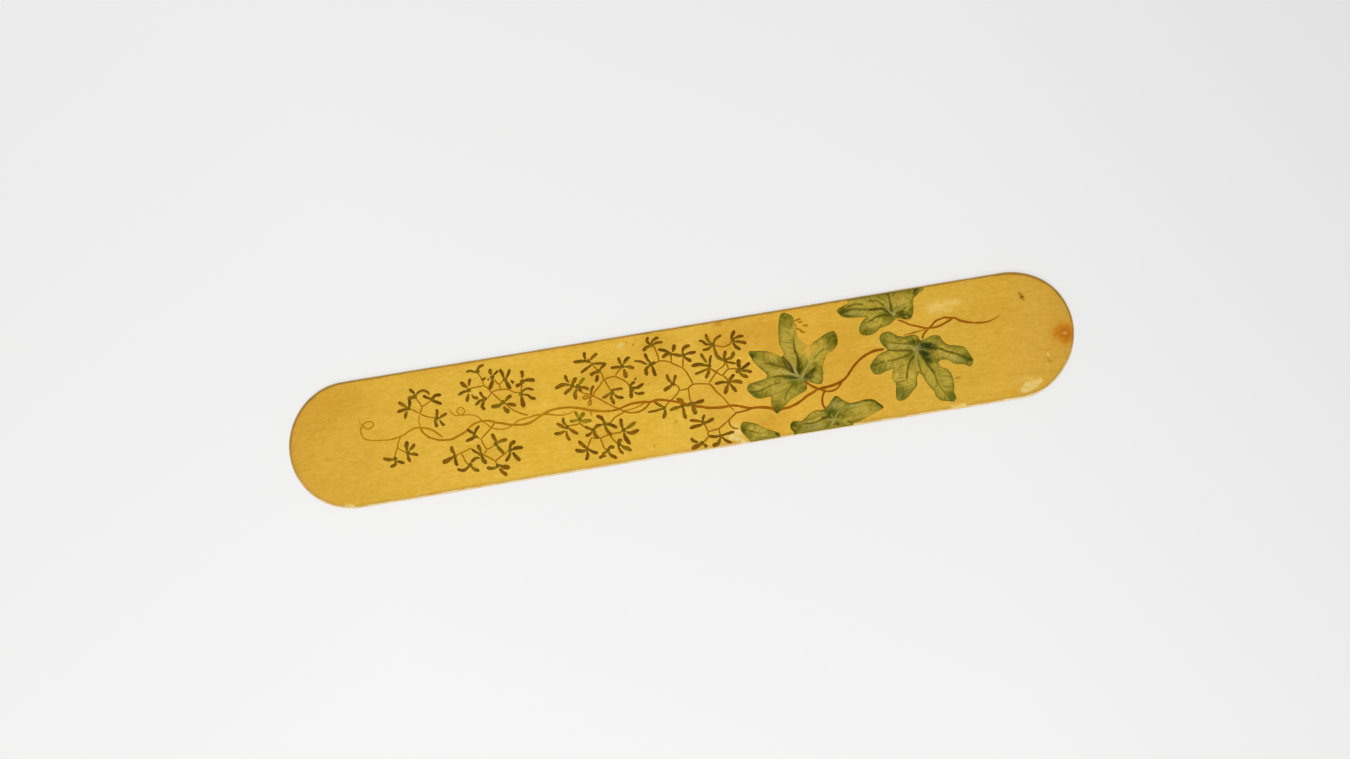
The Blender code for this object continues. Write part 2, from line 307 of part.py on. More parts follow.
def leaf(name, outline, layer, colour):
    """A leaf-shaped coat of paint: a filled 2D outline, extruded by half its thickness each way."""
    curve = bpy.data.curves.new(name, "CURVE")
    curve.dimensions = "2D"
    curve.fill_mode = "BOTH"
    curve.extrude = PAINT_THICKNESS / 2
    curve.resolution_u = 1
    curve.render_resolution_u = 0
    points = kept_below_edge([Vector(p) for p in outline])
    spline = curve.splines.new("POLY")
    spline.points.add(len(points) - 1)
    for target, p in zip(spline.points, points):
        target.co = (p[0] * MM, p[1] * MM, 0.0, 1.0)
    spline.use_cyclic_u = True
    piece = bpy.data.objects.new(name, curve)
    collection.objects.link(piece)
    piece.location.z = layer_height(layer) + PAINT_THICKNESS / 2
    curve.materials.append(paint_material(name + "_paint", colour, 0.45))
    piece.parent = root
    return piece


def blade_outline():
    """The rounded-end slat: two hand-shaped round ends and very slightly hollow long sides, in millimetres."""
    radius = BLADE_WIDTH / 2 / MM
    reach = BLADE_LENGTH / 2 / MM - radius
    points = []
    for sign in (1, -1):
        for k in range(END_STEPS + 1):
            turn = -math.pi / 2 + math.pi * k / END_STEPS
            r = radius * (1 + END_SKEW * math.sin(2 * turn) * (1 - abs(math.sin(turn)) ** 6))
            points.append(Vector((sign * (reach + r * math.cos(turn)), sign * r * math.sin(turn))))
        for k in range(1, 2 * SIDE_STEPS):
            x = sign * WIDEST * (1 - k / SIDE_STEPS)
            points.append(Vector((x, sign * (radius - WAIST * (1 - (x / WIDEST) ** 2)))))
    return points


def wood_blade():
    curve = bpy.data.curves.new("blade_outline", "CURVE")
    curve.dimensions = "2D"
    curve.fill_mode = "BOTH"
    curve.extrude = BLADE_THICKNESS / 2
    outline = blade_outline()
    spline = curve.splines.new("POLY")
    spline.points.add(len(outline) - 1)
    for target, p in zip(spline.points, outline):
        target.co = (p.x * MM, p.y * MM, 0.0, 1.0)
    spline.use_cyclic_u = True
    guide = bpy.data.objects.new("blade_outline", curve)
    collection.objects.link(guide)
    guide.location.z = BLADE_THICKNESS / 2
    bpy.context.view_layer.update()
    mesh = bpy.data.meshes.new_from_object(guide.evaluated_get(bpy.context.evaluated_depsgraph_get()))
    matrix = guide.matrix_world.copy()
    bpy.data.objects.remove(guide)
    bm = bmesh.new()
    bm.from_mesh(mesh)
    bmesh.ops.remove_doubles(bm, verts=bm.verts, dist=1e-7)
    bm.normal_update()
    flat = [e for e in bm.edges if len(e.link_faces) == 2 and all(abs(f.normal.z) > 0.99 for f in e.link_faces)]
    bmesh.ops.dissolve_edges(bm, edges=flat, use_verts=False)
    bmesh.ops.recalc_face_normals(bm, faces=bm.faces)
    bm.to_mesh(mesh)
    bm.free()
    mesh.name = "wood_blade"
    mesh.materials.clear()
    mesh.materials.append(paint_material("varnished_wood", (0.70, 0.42, 0.055), 0.42))
    piece = bpy.data.objects.new("wood_blade", mesh)
    collection.objects.link(piece)
    piece.matrix_world = matrix
    piece.parent = root
    rounding = piece.modifiers.new("worn edges", "BEVEL")
    rounding.width = EDGE_ROUNDING
    rounding.segments = 3
    rounding.limit_method = "ANGLE"
    rounding.angle_limit = math.radians(40)
    mesh.shade_smooth()
    mesh.set_sharp_from_angle(angle=math.radians(35))
    return piece


def spray(name, stalks_and_florets, layer, colour):
    stalks, florets = stalks_and_florets
    patches = []
    for stalk in stalks:
        patches += ribbon(stalk, STALK_HALF_WIDTH, STALK_HALF_WIDTH)
    for centre, tips in florets:
        patches.append(disc(centre, 0.32))
        patches += [leaflet(centre, tip) for tip in tips]
    return film(name, patches, layer, colour)


def lines(name, strokes, layer, colour):
    patches = []
    for start, end, points in strokes:
        patches += ribbon(points, start, end)
    return film(name, patches, layer, colour)


for old in list(bpy.data.objects):
    bpy.data.objects.remove(old)

collection = bpy.data.collections.new("bone_folder")
bpy.context.scene.collection.children.link(collection)
root = bpy.data.objects.new("bone_folder_root", None)
root.empty_display_size = 0.02
collection.objects.link(root)

wood_blade()

REDDISH, GOLDEN = (0.36, 0.085, 0.008), (0.40, 0.19, 0.015)
OLIVE, PURPLE_OLIVE = (0.085, 0.065, 0.008), (0.075, 0.040, 0.010)
lines("painted_vine_stem", VINE_STEM, 0, REDDISH)
lines("painted_tendril", VINE_TENDRIL, 2, GOLDEN)
lines("painted_runner", VINE_RUNNER, 0, REDDISH)

spray("painted_spray_far_left", SPRAY_A, 1, OLIVE)
spray("painted_spray_low_left", SPRAY_B, 1, OLIVE)
spray("painted_spray_upper_left", SPRAY_C, 1, PURPLE_OLIVE)
spray("painted_spray_lower_left", SPRAY_D, 1, OLIVE)
spray("painted_spray_upper_middle", SPRAY_F, 1, OLIVE)
spray("painted_spray_lower_middle", SPRAY_G, 1, PURPLE_OLIVE)
spray("painted_spray_heart", SPRAY_H, 1, OLIVE)
spray("painted_spray_upper_heart", SPRAY_J, 1, OLIVE)
spray("painted_spray_right", SPRAY_K, 1, PURPLE_OLIVE)
spray("painted_spray_low_right", SPRAY_M, 1, OLIVE)

leaf("painted_leaf_middle", LEAF_MIDDLE, 1, (0.045, 0.075, 0.012))
leaf("painted_leaf_star", LEAF_STAR, 1, (0.060, 0.085, 0.014))
leaf("painted_leaf_top", LEAF_TOP, 1, (0.075, 0.095, 0.016))
leaf("painted_leaf_bottom", LEAF_BOTTOM, 1, (0.055, 0.085, 0.014))
leaf("painted_leaf_small", LEAF_SMALL, 1, (0.10, 0.12, 0.020))
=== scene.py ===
"""The folder's looks: fine meshes and procedural materials for the varnished slat and the vine painted on it.

Lengths in this file are in millimetres and are turned into metres when a mesh is made. A point on the top face
is (x, y), from the middle of the slat, as in the CAD model.
"""

import math

import bpy
import numpy as np
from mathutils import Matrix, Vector
from mathutils.geometry import delaunay_2d_cdt


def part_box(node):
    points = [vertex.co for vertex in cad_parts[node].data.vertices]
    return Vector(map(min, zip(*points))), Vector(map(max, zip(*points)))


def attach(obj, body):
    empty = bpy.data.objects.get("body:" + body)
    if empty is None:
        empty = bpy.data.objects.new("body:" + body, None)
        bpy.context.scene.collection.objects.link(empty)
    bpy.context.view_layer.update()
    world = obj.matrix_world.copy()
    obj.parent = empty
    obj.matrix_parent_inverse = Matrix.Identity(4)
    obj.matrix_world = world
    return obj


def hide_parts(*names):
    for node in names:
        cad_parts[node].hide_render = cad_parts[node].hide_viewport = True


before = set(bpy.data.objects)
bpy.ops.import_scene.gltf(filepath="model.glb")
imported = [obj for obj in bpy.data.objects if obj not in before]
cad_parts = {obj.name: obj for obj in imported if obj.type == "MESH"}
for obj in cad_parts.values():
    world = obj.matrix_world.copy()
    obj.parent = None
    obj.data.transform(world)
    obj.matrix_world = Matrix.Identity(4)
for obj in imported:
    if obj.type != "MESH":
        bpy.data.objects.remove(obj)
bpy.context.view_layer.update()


def plain(box):
    return [[float(v) for v in corner] for corner in box]


BLADE_LOW, BLADE_HIGH = plain(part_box("wood_blade"))
MM = 0.001
LENGTH = (BLADE_HIGH[0] - BLADE_LOW[0]) / MM
WIDTH = (BLADE_HIGH[1] - BLADE_LOW[1]) / MM
TOP = (BLADE_HIGH[2] - BLADE_LOW[2]) / MM
RADIUS = WIDTH / 2
REACH = LENGTH / 2 - RADIUS
ROUNDING = 0.6
END_SKEW = 0.016
WAIST = 0.12
WIDEST = 75.0

# ---------------------------------------------------------------- the painted vine, points in millimetres
VINE_STEM = [
    (0.16, 0.23, [(-89.4, 6.5), (-89.3, 5.6), (-88.8, 4.8), (-87.6, 3.6), (-86.3, 3.9), (-85.7, 4.7), (-86.4, 5.5), (-87.6, 5.55), (-88.7, 4.9), (-89.45, 3.75), (-89.55, 3), (-89.25, 1.75), (-88.5, 0.9), (-87.25, 0.4), (-85.6, 0.05), (-83.5, -0.2), (-81.5, -0.3), (-80, -0.1), (-78.75, 0.15), (-77.5, 0.55), (-76.25, 1.2), (-75, 1.6), (-74, 1.75), (-73, 1.6), (-71.75, 1.3), (-70, 0.5), (-69, -0.4), (-68, -1.4), (-67.4, -2.1)]),
    (0.24, 0.30, [(-73, 1.6), (-72.75, 0.5), (-72, -0.5), (-71, -1.5), (-69.75, -2.1), (-68.25, -2.7), (-66.75, -2.9), (-65.25, -3), (-64.25, -2.8), (-62.75, -2.25), (-61, -1.6), (-59.75, -0.6), (-58.5, 0.1), (-57, 0.55), (-55.25, 0.6), (-53.75, 0.3), (-52.25, -0.4), (-50.5, -0.9), (-48.5, -1.6), (-46.5, -2), (-44.75, -2.2), (-43, -2.05), (-41.5, -1.5), (-40, -0.75), (-38.75, -0.25), (-37.25, 0.3), (-35.75, 0.55), (-33.75, 0.6), (-31.75, 0.45), (-30, 0.1), (-28, -0.5), (-26, -1.3), (-24.25, -1.75), (-22, -2.25), (-20, -2.45)]),
    (0.28, 0.35, [(-20, -2.45), (-18, -2.3), (-16.5, -1.9), (-14.5, -1.45), (-12.5, -1.4), (-10.75, -1.5), (-9, -1.8), (-7.5, -1.5), (-5.75, -1.75), (-4, -2.25), (-2.5, -2.75), (-1.4, -3.1), (0.9, -4.1), (3.25, -5), (5, -5.5), (6.5, -6), (8.5, -6.3), (10.75, -6.5), (12.75, -6.4), (14.5, -6.75), (16.25, -7.4), (18, -8), (20, -8.1), (21.75, -8.4), (23.5, -8.9), (25, -9.7), (27, -9.6), (28.75, -9.5), (30.5, -9), (32.25, -8.25), (34, -7.25), (35.25, -6.75), (37, -6)]),
    (0.36, 0.32, [(37, -6), (38.75, -5.75), (40.75, -5.6), (42.75, -5.25), (44.5, -4.6), (45.75, -3.75), (47, -2.4), (48.25, -1.1), (49.75, 0.1), (51.5, 1.1), (53.25, 1.75), (55, 2.1), (57.25, 2.05)]),
    (0.22, 0.24, [(-17.5, -2.6), (-16.5, -3.25), (-15, -3.8), (-13.25, -4), (-11.5, -3.6), (-10.25, -2.9), (-9.25, -2)]),
    (0.14, 0.14, [(-17.6, -2.5), (-16.6, -2.95), (-14.5, -2.9), (-12.25, -2.4), (-10.5, -1.7)]),
    (0.18, 0.14, [(-25.75, -1.2), (-25.85, -2.1), (-25.75, -3)]),
    (0.20, 0.20, [(13.5, -8.5), (15, -8.6), (17, -8.4), (18.5, -8.1)]),
    (0.24, 0.24, [(38, -6.1), (39.25, -6.75), (40.75, -7), (42.5, -6.6), (43.5, -5.75), (44.3, -4.9)]),
    (0.28, 0.28, [(34, -3), (35.25, -4.25), (36.5, -5.25), (38, -6)]),
    (0.24, 0.30, [(39.4, -6.3), (38.4, -7.75), (38, -9), (38, -10.5), (38.6, -11.6)]),
]
VINE_TENDRIL = [
    (0.16, 0.22, [(-64.6, 5.5), (-63.9, 4.3), (-62.9, 3.3), (-61.6, 3.25), (-60.5, 3.6), (-60.25, 4.5), (-60.9, 5.25), (-61.8, 5.2), (-62.35, 4.4), (-62.0, 3.6), (-61.0, 3.1), (-59.75, 3), (-58.25, 2.75), (-57, 2.1), (-56.25, 1.25), (-55.5, 0.25), (-54.6, -0.6), (-53.5, -1.75), (-51.5, -2.4), (-50, -2.55), (-48.75, -2.3), (-47.75, -1.9), (-46.5, -1.1), (-44.75, -0.7), (-42.5, -0.4), (-40.5, -0.2), (-39, -0.4), (-37.5, -0.55), (-35.5, -1.1), (-33.25, -1.45), (-31.5, -1.2), (-30, -0.9)]),
]
VINE_RUNNER = [
    (0.24, 0.30, [(68.1, 3), (68.6, 4.25), (70, 5.5), (71.25, 6.4), (72.5, 7.4), (74, 7.8), (75.25, 8), (76.75, 7.6), (78, 7.4), (79, 6.6), (81, 5.75), (83, 5.2)]),
    (0.30, 0.14, [(83, 5.2), (85.25, 4.9), (87.25, 5), (89, 5.5), (90.5, 6.2)]),
    (0.22, 0.26, [(62.2, 9.5), (64, 8.5), (65.5, 7.5), (67.5, 6.75), (69.25, 6), (70.75, 5.8), (72.25, 5.75), (74, 6.1), (75.75, 6.75), (77.25, 7.3)]),
    (0.16, 0.20, [(63, 4.9), (65.5, 5.2), (67.5, 5.4), (70, 5.6)]),
]

# Leaves: outline, then midribs (each from its tip to the leaf's heart).
LEAF_STAR = [(68.3, 2.8), (69.8, 3.4), (71.8, 3.6), (73, 3), (73.8, 1.5), (75, 0.4), (77, -0.1), (79, -0.8), (80, -2.2), (81, -4.5), (80.9, -5.5), (80, -6.5), (78, -5.6), (75.8, -5.1), (74.5, -4), (73.3, -3.5), (71.8, -3.7), (71.5, -4.3), (72.3, -5.5), (73.8, -6.5), (74.6, -8.3), (74.8, -10.5), (74.4, -12.8), (74.8, -14.5), (73.8, -15.5), (72.3, -15), (70.5, -14.5), (69.3, -13.3), (68.9, -11.8), (67.8, -10), (67, -8.5), (66.5, -6.8), (66, -6.4), (65.5, -6.2), (64.8, -7.8), (64.5, -9.5), (62.8, -11), (61, -12.5), (59.3, -12.9), (58.4, -12), (58.5, -9.8), (58.9, -8), (58, -6.5), (58.3, -5), (58.8, -3.8), (57, -4), (55.3, -4.6), (53.5, -4.4), (52.8, -3.3), (52.6, -2), (53.5, -0.8), (55.3, 0.8), (57.8, 1.6), (57.9, 2), (57, 3.2), (56.4, 5), (57, 6.3), (58.5, 6.8), (60, 6.3), (61.5, 5.1), (63.5, 4.6), (65.8, 4.8), (67, 4), (67.4, 3)]
LEAF_MIDDLE = [(29.6, 5.7), (28.8, 8), (29.2, 12.2), (30, 15.5), (31.2, 16.6), (32.8, 15.9), (33.8, 14.8), (34, 12), (34.3, 9.5), (35.3, 7.5), (36.8, 6.6), (38.3, 7.2), (40.5, 8.3), (42, 9), (44.2, 9.3), (44.9, 7.8), (44.8, 5.8), (43.3, 4), (41.3, 3), (39.8, 0.5), (39.5, -1.8), (39, -4), (38, -4.6), (36.5, -4.1), (35.2, -3.4), (34.3, -3), (34.5, -4.3), (34.4, -5.2), (33.2, -6.1), (31.3, -6.8), (28.8, -8), (26.5, -9.8), (25, -10.8), (24, -9), (23.9, -7.3), (24, -5.8), (21.5, -5.9), (20, -5.6), (19, -4.5), (17.9, -2.8), (19, -1.3), (22.5, -0.8), (23.9, -0.4), (23.9, 0.6), (23.2, 1.5), (21.5, 3.5), (20.5, 5.5), (20, 7.5), (21.3, 7.5), (25, 6.8), (27.5, 5.5), (28.8, 4.7), (29.4, 5)]
LEAF_TOP = [(51, 17.3), (49.5, 16.3), (46.8, 15.3), (46, 14.5), (47, 13), (48.5, 12.3), (51.3, 11.9), (53.7, 11.6), (52.3, 10.6), (51.4, 9.2), (51.2, 7.8), (52, 6.9), (53.5, 6.5), (55.3, 6.9), (57.3, 8), (59.8, 8.5), (61.3, 9.4), (62.3, 9.9), (63.8, 9.3), (65.5, 9.1), (66.7, 10.3), (67.1, 12), (67.4, 14.3), (68.8, 15.5), (69.8, 17.3)]
LEAF_BOTTOM = [(28, -15), (29, -13.5), (31.5, -13.8), (33.3, -12.6), (35.5, -11.5), (37.5, -11.7), (39, -11), (40.5, -9.5), (42, -8.5), (43.5, -9.8), (45, -10.9), (46.8, -11.1), (49.3, -10.8), (51.5, -11), (53, -12), (54.5, -13.8), (53, -14.5), (50.8, -15.3), (48.3, -16.3), (45.5, -16.8), (44, -17.3), (30, -17.3), (28.8, -16.5)]
LEAF_SMALL = [(14.3, -13), (15, -11.7), (16, -11.4), (18.8, -12.5), (21.3, -14.2), (23.3, -15.2), (24.8, -16.3), (24.2, -17.3), (17.5, -17.3), (16, -16.2), (14.8, -14.6)]

# Sprays of small leaflets: stalks as polylines, then florets as a centre and the tips of its leaflets.
SPRAY_A = [[(-73, 1.6), (-73.2, 3.6), (-72.7, 5.2)], [(-72.5, 5.4), (-74.5, 6.9), (-75.5, 7.3)], [(-72.5, 5.4), (-72, 6.5), (-71.75, 7.25), (-72.75, 9.5), (-73.2, 10.3)], [(-71.75, 7.25), (-70, 7.9), (-68.5, 8.9)], [(-72.5, 5.4), (-71, 4.4), (-69.5, 3.9), (-68, 3.4)]]
SPRAY_B = [[(-78.75, 0.1), (-79.75, -1.4), (-80.25, -2.9), (-81, -4.25), (-81.4, -5.6)], [(-80.25, -2.9), (-79.25, -3.75), (-77.7, -4.6)]]
SPRAY_C = [[(-43, 0.1), (-44.5, 0.75), (-46, 1.6), (-47.25, 2.5), (-49, 4.6), (-50.1, 5.6), (-51.25, 7), (-52, 8), (-53, 9.5), (-53.75, 10.25), (-53.9, 11.25), (-54.3, 12.6), (-55.0, 14.1)], [(-53.75, 10.2), (-57, 10.1), (-58.2, 9.7)], [(-52, 8), (-53.25, 6.75), (-54.4, 7)], [(-52, 8), (-50.5, 8.4), (-48.25, 8.25), (-47, 7.9), (-45.75, 7), (-44, 6.75)], [(-51.25, 12.25), (-50.5, 11), (-49.6, 9.9), (-48.75, 10.4), (-47.75, 11.25)], [(-49.6, 9.9), (-49.3, 8.3)], [(-44, 6.75), (-43, 9.9)]]
SPRAY_D = [[(-52.25, -0.25), (-54, -1.9), (-55.75, -3.25), (-57, -4.25)], [(-57, -4.25), (-58.9, -3.1)], [(-57, -4.25), (-56.5, -6), (-55.75, -7.25), (-54, -6.75), (-53, -6.3)], [(-65.2, -7.9), (-64.25, -7.5), (-63.25, -7.25), (-61, -6.5), (-60.25, -6.4), (-59.2, -7.2), (-58, -8.25)], [(-63, -7.3), (-62.1, -10), (-61.4, -10.75)], [(-57.9, -8.3), (-56.3, -9.2), (-54, -10.9)], [(-57, -8.6), (-55.75, -7.25)], [(-53.75, -11.9), (-54, -10.9), (-52, -9.75), (-49.6, -8.5)]]
SPRAY_F = [[(-17.5, -2.5), (-19.5, -1.25), (-21.25, 0), (-22.75, 1.25), (-24.5, 2.5), (-26, 3.25), (-27.5, 4), (-29.75, 6.5)], [(-27.2, 3.9), (-27.5, 6)], [(-24.5, 2.5), (-23.6, 3.7), (-22.1, 5), (-21.25, 6), (-20, 6.6), (-18.5, 6.8), (-17.5, 6.75), (-16, 5.75), (-14.75, 4.75), (-13.6, 2.75)], [(-17.5, 6.75), (-16.9, 7.6), (-15, 9.4)], [(-20.9, 6.3), (-21, 8), (-22, 9.25)], [(-20.6, 6.3), (-19.9, 4.5), (-19.1, 2.4)], [(-22, 9.25), (-24, 12.25)], [(-24.3, 2.5), (-25.9, 2.1), (-26.9, 2.0), (-27.3, 2.4), (-26.6, 2.8), (-25.6, 2.5)], [(-25.0, 2.2), (-25.7, 1.2), (-26.1, 0.4), (-25.7, 0.0), (-25.3, 0.6), (-25.2, 1.6)]]
SPRAY_G = [[(-16.75, -3.4), (-18.5, -4), (-19.75, -4.6), (-21, -5.6), (-22.75, -5.6)], [(-33.25, -4.75), (-31.75, -4.6), (-29.5, -4.5), (-29.25, -3.25)], [(-29.4, -4.4), (-27.6, -6), (-25.6, -6.75)], [(-24.5, -9.4), (-25.6, -9.3), (-26.75, -9), (-27.6, -10.25), (-28.25, -11.5)], [(-25.6, -6.75), (-25.2, -8.2), (-24.5, -9.4), (-22.75, -9), (-21.2, -8.7), (-18.75, -8.75), (-17.75, -8)], [(-24.4, -9.5), (-24, -11), (-23.75, -12.25), (-22.9, -13.25)], [(-21.7, -8.8), (-21.25, -9.75), (-20.5, -11), (-19.75, -11.75)], [(-22.75, -5.6), (-25.6, -6.75)]]
SPRAY_H = [[(-5.5, -4), (-4.3, -2.9), (-2.9, -2.0), (-1.8, -1.1), (-0.75, 0.0), (-0.65, 0.9), (-1.2, 1.6), (-2.1, 2.3)]]
SPRAY_J = [[(-6, 14.1), (-5.5, 13), (-4.9, 10.25), (-5, 9), (-5.75, 8.75), (-7.25, 8.75)], [(-5, 9), (-4.25, 9), (-2.5, 8.5), (-0.75, 7.4), (1.25, 6.1), (1.5, 5.75), (2.25, 4.5), (2.9, 2.8), (3.45, 1.2)], [(-1.4, 10.25), (-1.4, 9.25), (-1.5, 7.9)], [(2.1, 9.6), (1.8, 8.1), (1.35, 6.1)]]
SPRAY_K = [[(2.25, -4), (1.9, -2.75), (1.9, -0.75), (2, 0.25), (3.4, 1.1), (5.5, 0.9), (7.75, 0.5)], [(-0.8, 0.05), (0.6, 0.1), (2, 0.2)], [(7.75, 0.5), (8.75, 1.75), (10, 3), (11, 4), (12.75, 4.9), (13, 6.5)], [(10, 4), (10.75, 3), (11.75, 2.25), (12.75, 3), (13.75, 3.6), (15.5, 3.5), (16.75, 3)], [(13.75, 3.6), (13.6, 4.75), (13, 6.5)], [(11.9, 2.2), (12.75, 1.25), (13.25, 0.25)], [(7.75, 0.5), (8.5, -0.25), (9.5, -2), (10.75, -3.5), (12, -5.5), (12.75, -7), (13.6, -7.9)], [(10.1, 3.3), (9.0, 4.6), (8, 5.75)], [(10.5, 11.25), (11.75, 10.5), (13.5, 10), (15.4, 10.5), (15.6, 11.2)]]
SPRAY_M = [[(14, -8.6), (11.75, -10.1), (8.75, -12), (7.2, -12.3), (5.5, -12.4), (5.1, -11.4), (4.7, -10.2)], [(5.45, -12.3), (5.3, -13.0), (5.3, -13.9)], [(8.6, -12.1), (8.5, -13.25), (8.6, -14.5)], [(11.75, -10.1), (11.6, -11.5), (12.5, -12.6), (13.9, -13.1)]]

# Ribs of each leaf, from its heart to the tip of a lobe.
RIBS_STAR = [
    [(66.4, 0.6), (69, 0.5), (72.25, -0.25), (75, -1.75), (78, -3), (80.4, -4.8)],
    [(66.6, 0.2), (68, -2.5), (69, -5), (70, -7.25), (71, -10), (72.8, -13.3), (73.9, -15)],
    [(66.2, 0.2), (64.25, -1.75), (62.5, -4.25), (62, -6.75), (61.7, -8), (60, -12)],
    [(66, 0.4), (63.25, -0.75), (59.5, -1), (56.5, -1.7), (53.2, -3)],
    [(66, 1), (63.25, 2.75), (60.75, 3.25), (57, 4.6)],
    [(66.8, 1.2), (69, 2.2), (72, 2.8)],
]
RIBS_MIDDLE = [
    [(33.3, -2), (32.85, 1), (32.75, 3), (32.75, 8.5), (31.8, 13), (31.2, 16)],
    [(33.5, -1.5), (36, 0.5), (38, 3), (40.75, 5), (44, 8.5)],
    [(33.2, -1.6), (31, 0.5), (28.5, 1.8), (24, 3.7), (20.6, 7)],
    [(33, -2), (31, -1.5), (27, -0.9), (24, -2.1), (20, -3.2), (18.3, -2.9)],
    [(33.1, -2.3), (30.2, -3.8), (28.5, -5.8), (27.2, -7.6), (25.1, -10.3)],
    [(33.6, -2.2), (36.5, -2.6), (38.6, -4)],
]
RIBS_TOP = [
    [(61.2, 11.2), (60.5, 12), (58.5, 13), (54.5, 13.75), (50.75, 14.5), (46.8, 14.3)],
    [(61, 10.9), (58.5, 9.9), (56, 9), (52.4, 7.9)],
    [(61.3, 11.5), (60.75, 12.75), (60.75, 15.25), (61, 17.3)],
    [(61.5, 11.3), (64, 12.6), (66.5, 15), (69, 17.2)],
    [(61.6, 11), (64, 10.6), (66, 10.2)],
]
RIBS_BOTTOM = [
    [(40.3, -14.8), (41, -12.5), (42, -9.2)],
    [(40.6, -14.6), (44, -13.5), (49, -12.8), (53.8, -13.5)],
    [(40, -14.7), (37, -13.2), (33.6, -13)],
    [(39.9, -15), (35, -15), (29.4, -15)],
    [(40.5, -15), (44, -16), (48, -16)],
]
RIBS_SMALL = [[(22.3, -17), (19, -15), (15.4, -12.4)]]
# Loose strokes of dark paint beside the middle leaf's upper lobe: centre, length, direction in degrees.
LOOSE_STROKES = [((34.7, 14.0), 2.0, 9), ((35.4, 13.3), 1.2, -6), ((36.7, 12.1), 1.4, 0), ((34.8, 11.3), 1.9, -33), ((35.7, 10.4), 1.2, -20), ((33.9, 12.7), 1.0, -40)]

SPRAYS = {
    "painted_spray_far_left": SPRAY_A,
    "painted_spray_low_left": SPRAY_B,
    "painted_spray_upper_left": SPRAY_C,
    "painted_spray_lower_left": SPRAY_D,
    "painted_spray_upper_middle": SPRAY_F,
    "painted_spray_lower_middle": SPRAY_G,
    "painted_spray_heart": SPRAY_H,
    "painted_spray_upper_heart": SPRAY_J,
    "painted_spray_right": SPRAY_K,
    "painted_spray_low_right": SPRAY_M,
}
LEAVES = {
    "star": ("painted_leaf_star", LEAF_STAR, RIBS_STAR, (66.4, 0.6)),
    "middle": ("painted_leaf_middle", LEAF_MIDDLE, RIBS_MIDDLE, (33.3, -2.0)),
    "top": ("painted_leaf_top", LEAF_TOP, RIBS_TOP, (61.2, 11.2)),
    "bottom": ("painted_leaf_bottom", LEAF_BOTTOM, RIBS_BOTTOM, (40.3, -14.8)),
    "small": ("painted_leaf_small", LEAF_SMALL, RIBS_SMALL, (22.3, -17.0)),
}

# ---------------------------------------------------------------- marks on the varnish
# Flakes where varnish and the skin of the wood are gone: outline, depth in mm.
FLAKES = [
    ([(94.4, -13.5), (96.5, -13.2), (99.2, -13.3), (99.1, -14.2), (97.6, -15.2), (95.6, -15.9), (93.4, -16.3), (92.7, -15.1)], 0.07),
    ([(73, -16.5), (74.5, -16.2), (76.9, -16.4), (77.3, -17.6), (72.6, -17.6)], 0.09),
    ([(10.9, -14.3), (12.6, -13.5), (14.1, -13.9), (14.4, -15.4), (15.4, -17.2), (14.4, -17.6), (12.6, -16.6), (11.2, -15.6)], 0.05),
    ([(43.2, -16.6), (45.3, -16.5), (45.6, -17.2), (43.0, -17.3)], 0.05),
    ([(-15.8, 14.6), (-14.6, 14.4), (-13.7, 15.1), (-14.2, 15.7), (-15.5, 15.5)], 0.05),
    ([(25.5, 15.2), (26.2, 15.2), (26.2, 15.7), (25.6, 15.7)], 0.04),
    ([(-77.1, -16.3), (-76.3, -16.3), (-76.5, -16.8), (-77.1, -16.8)], 0.04),
    ([(-97.2, -15.8), (-94.2, -16.6), (-94.6, -17.1), (-97.4, -16.5)], 0.06),
    ([(78.6, 2.3), (78.95, 2.3), (78.95, 2.6), (78.6, 2.6)], 0.03),
    ([(101.4, -6.3), (102.0, -6.5), (102.0, -6.9), (101.5, -6.8)], 0.03),
]


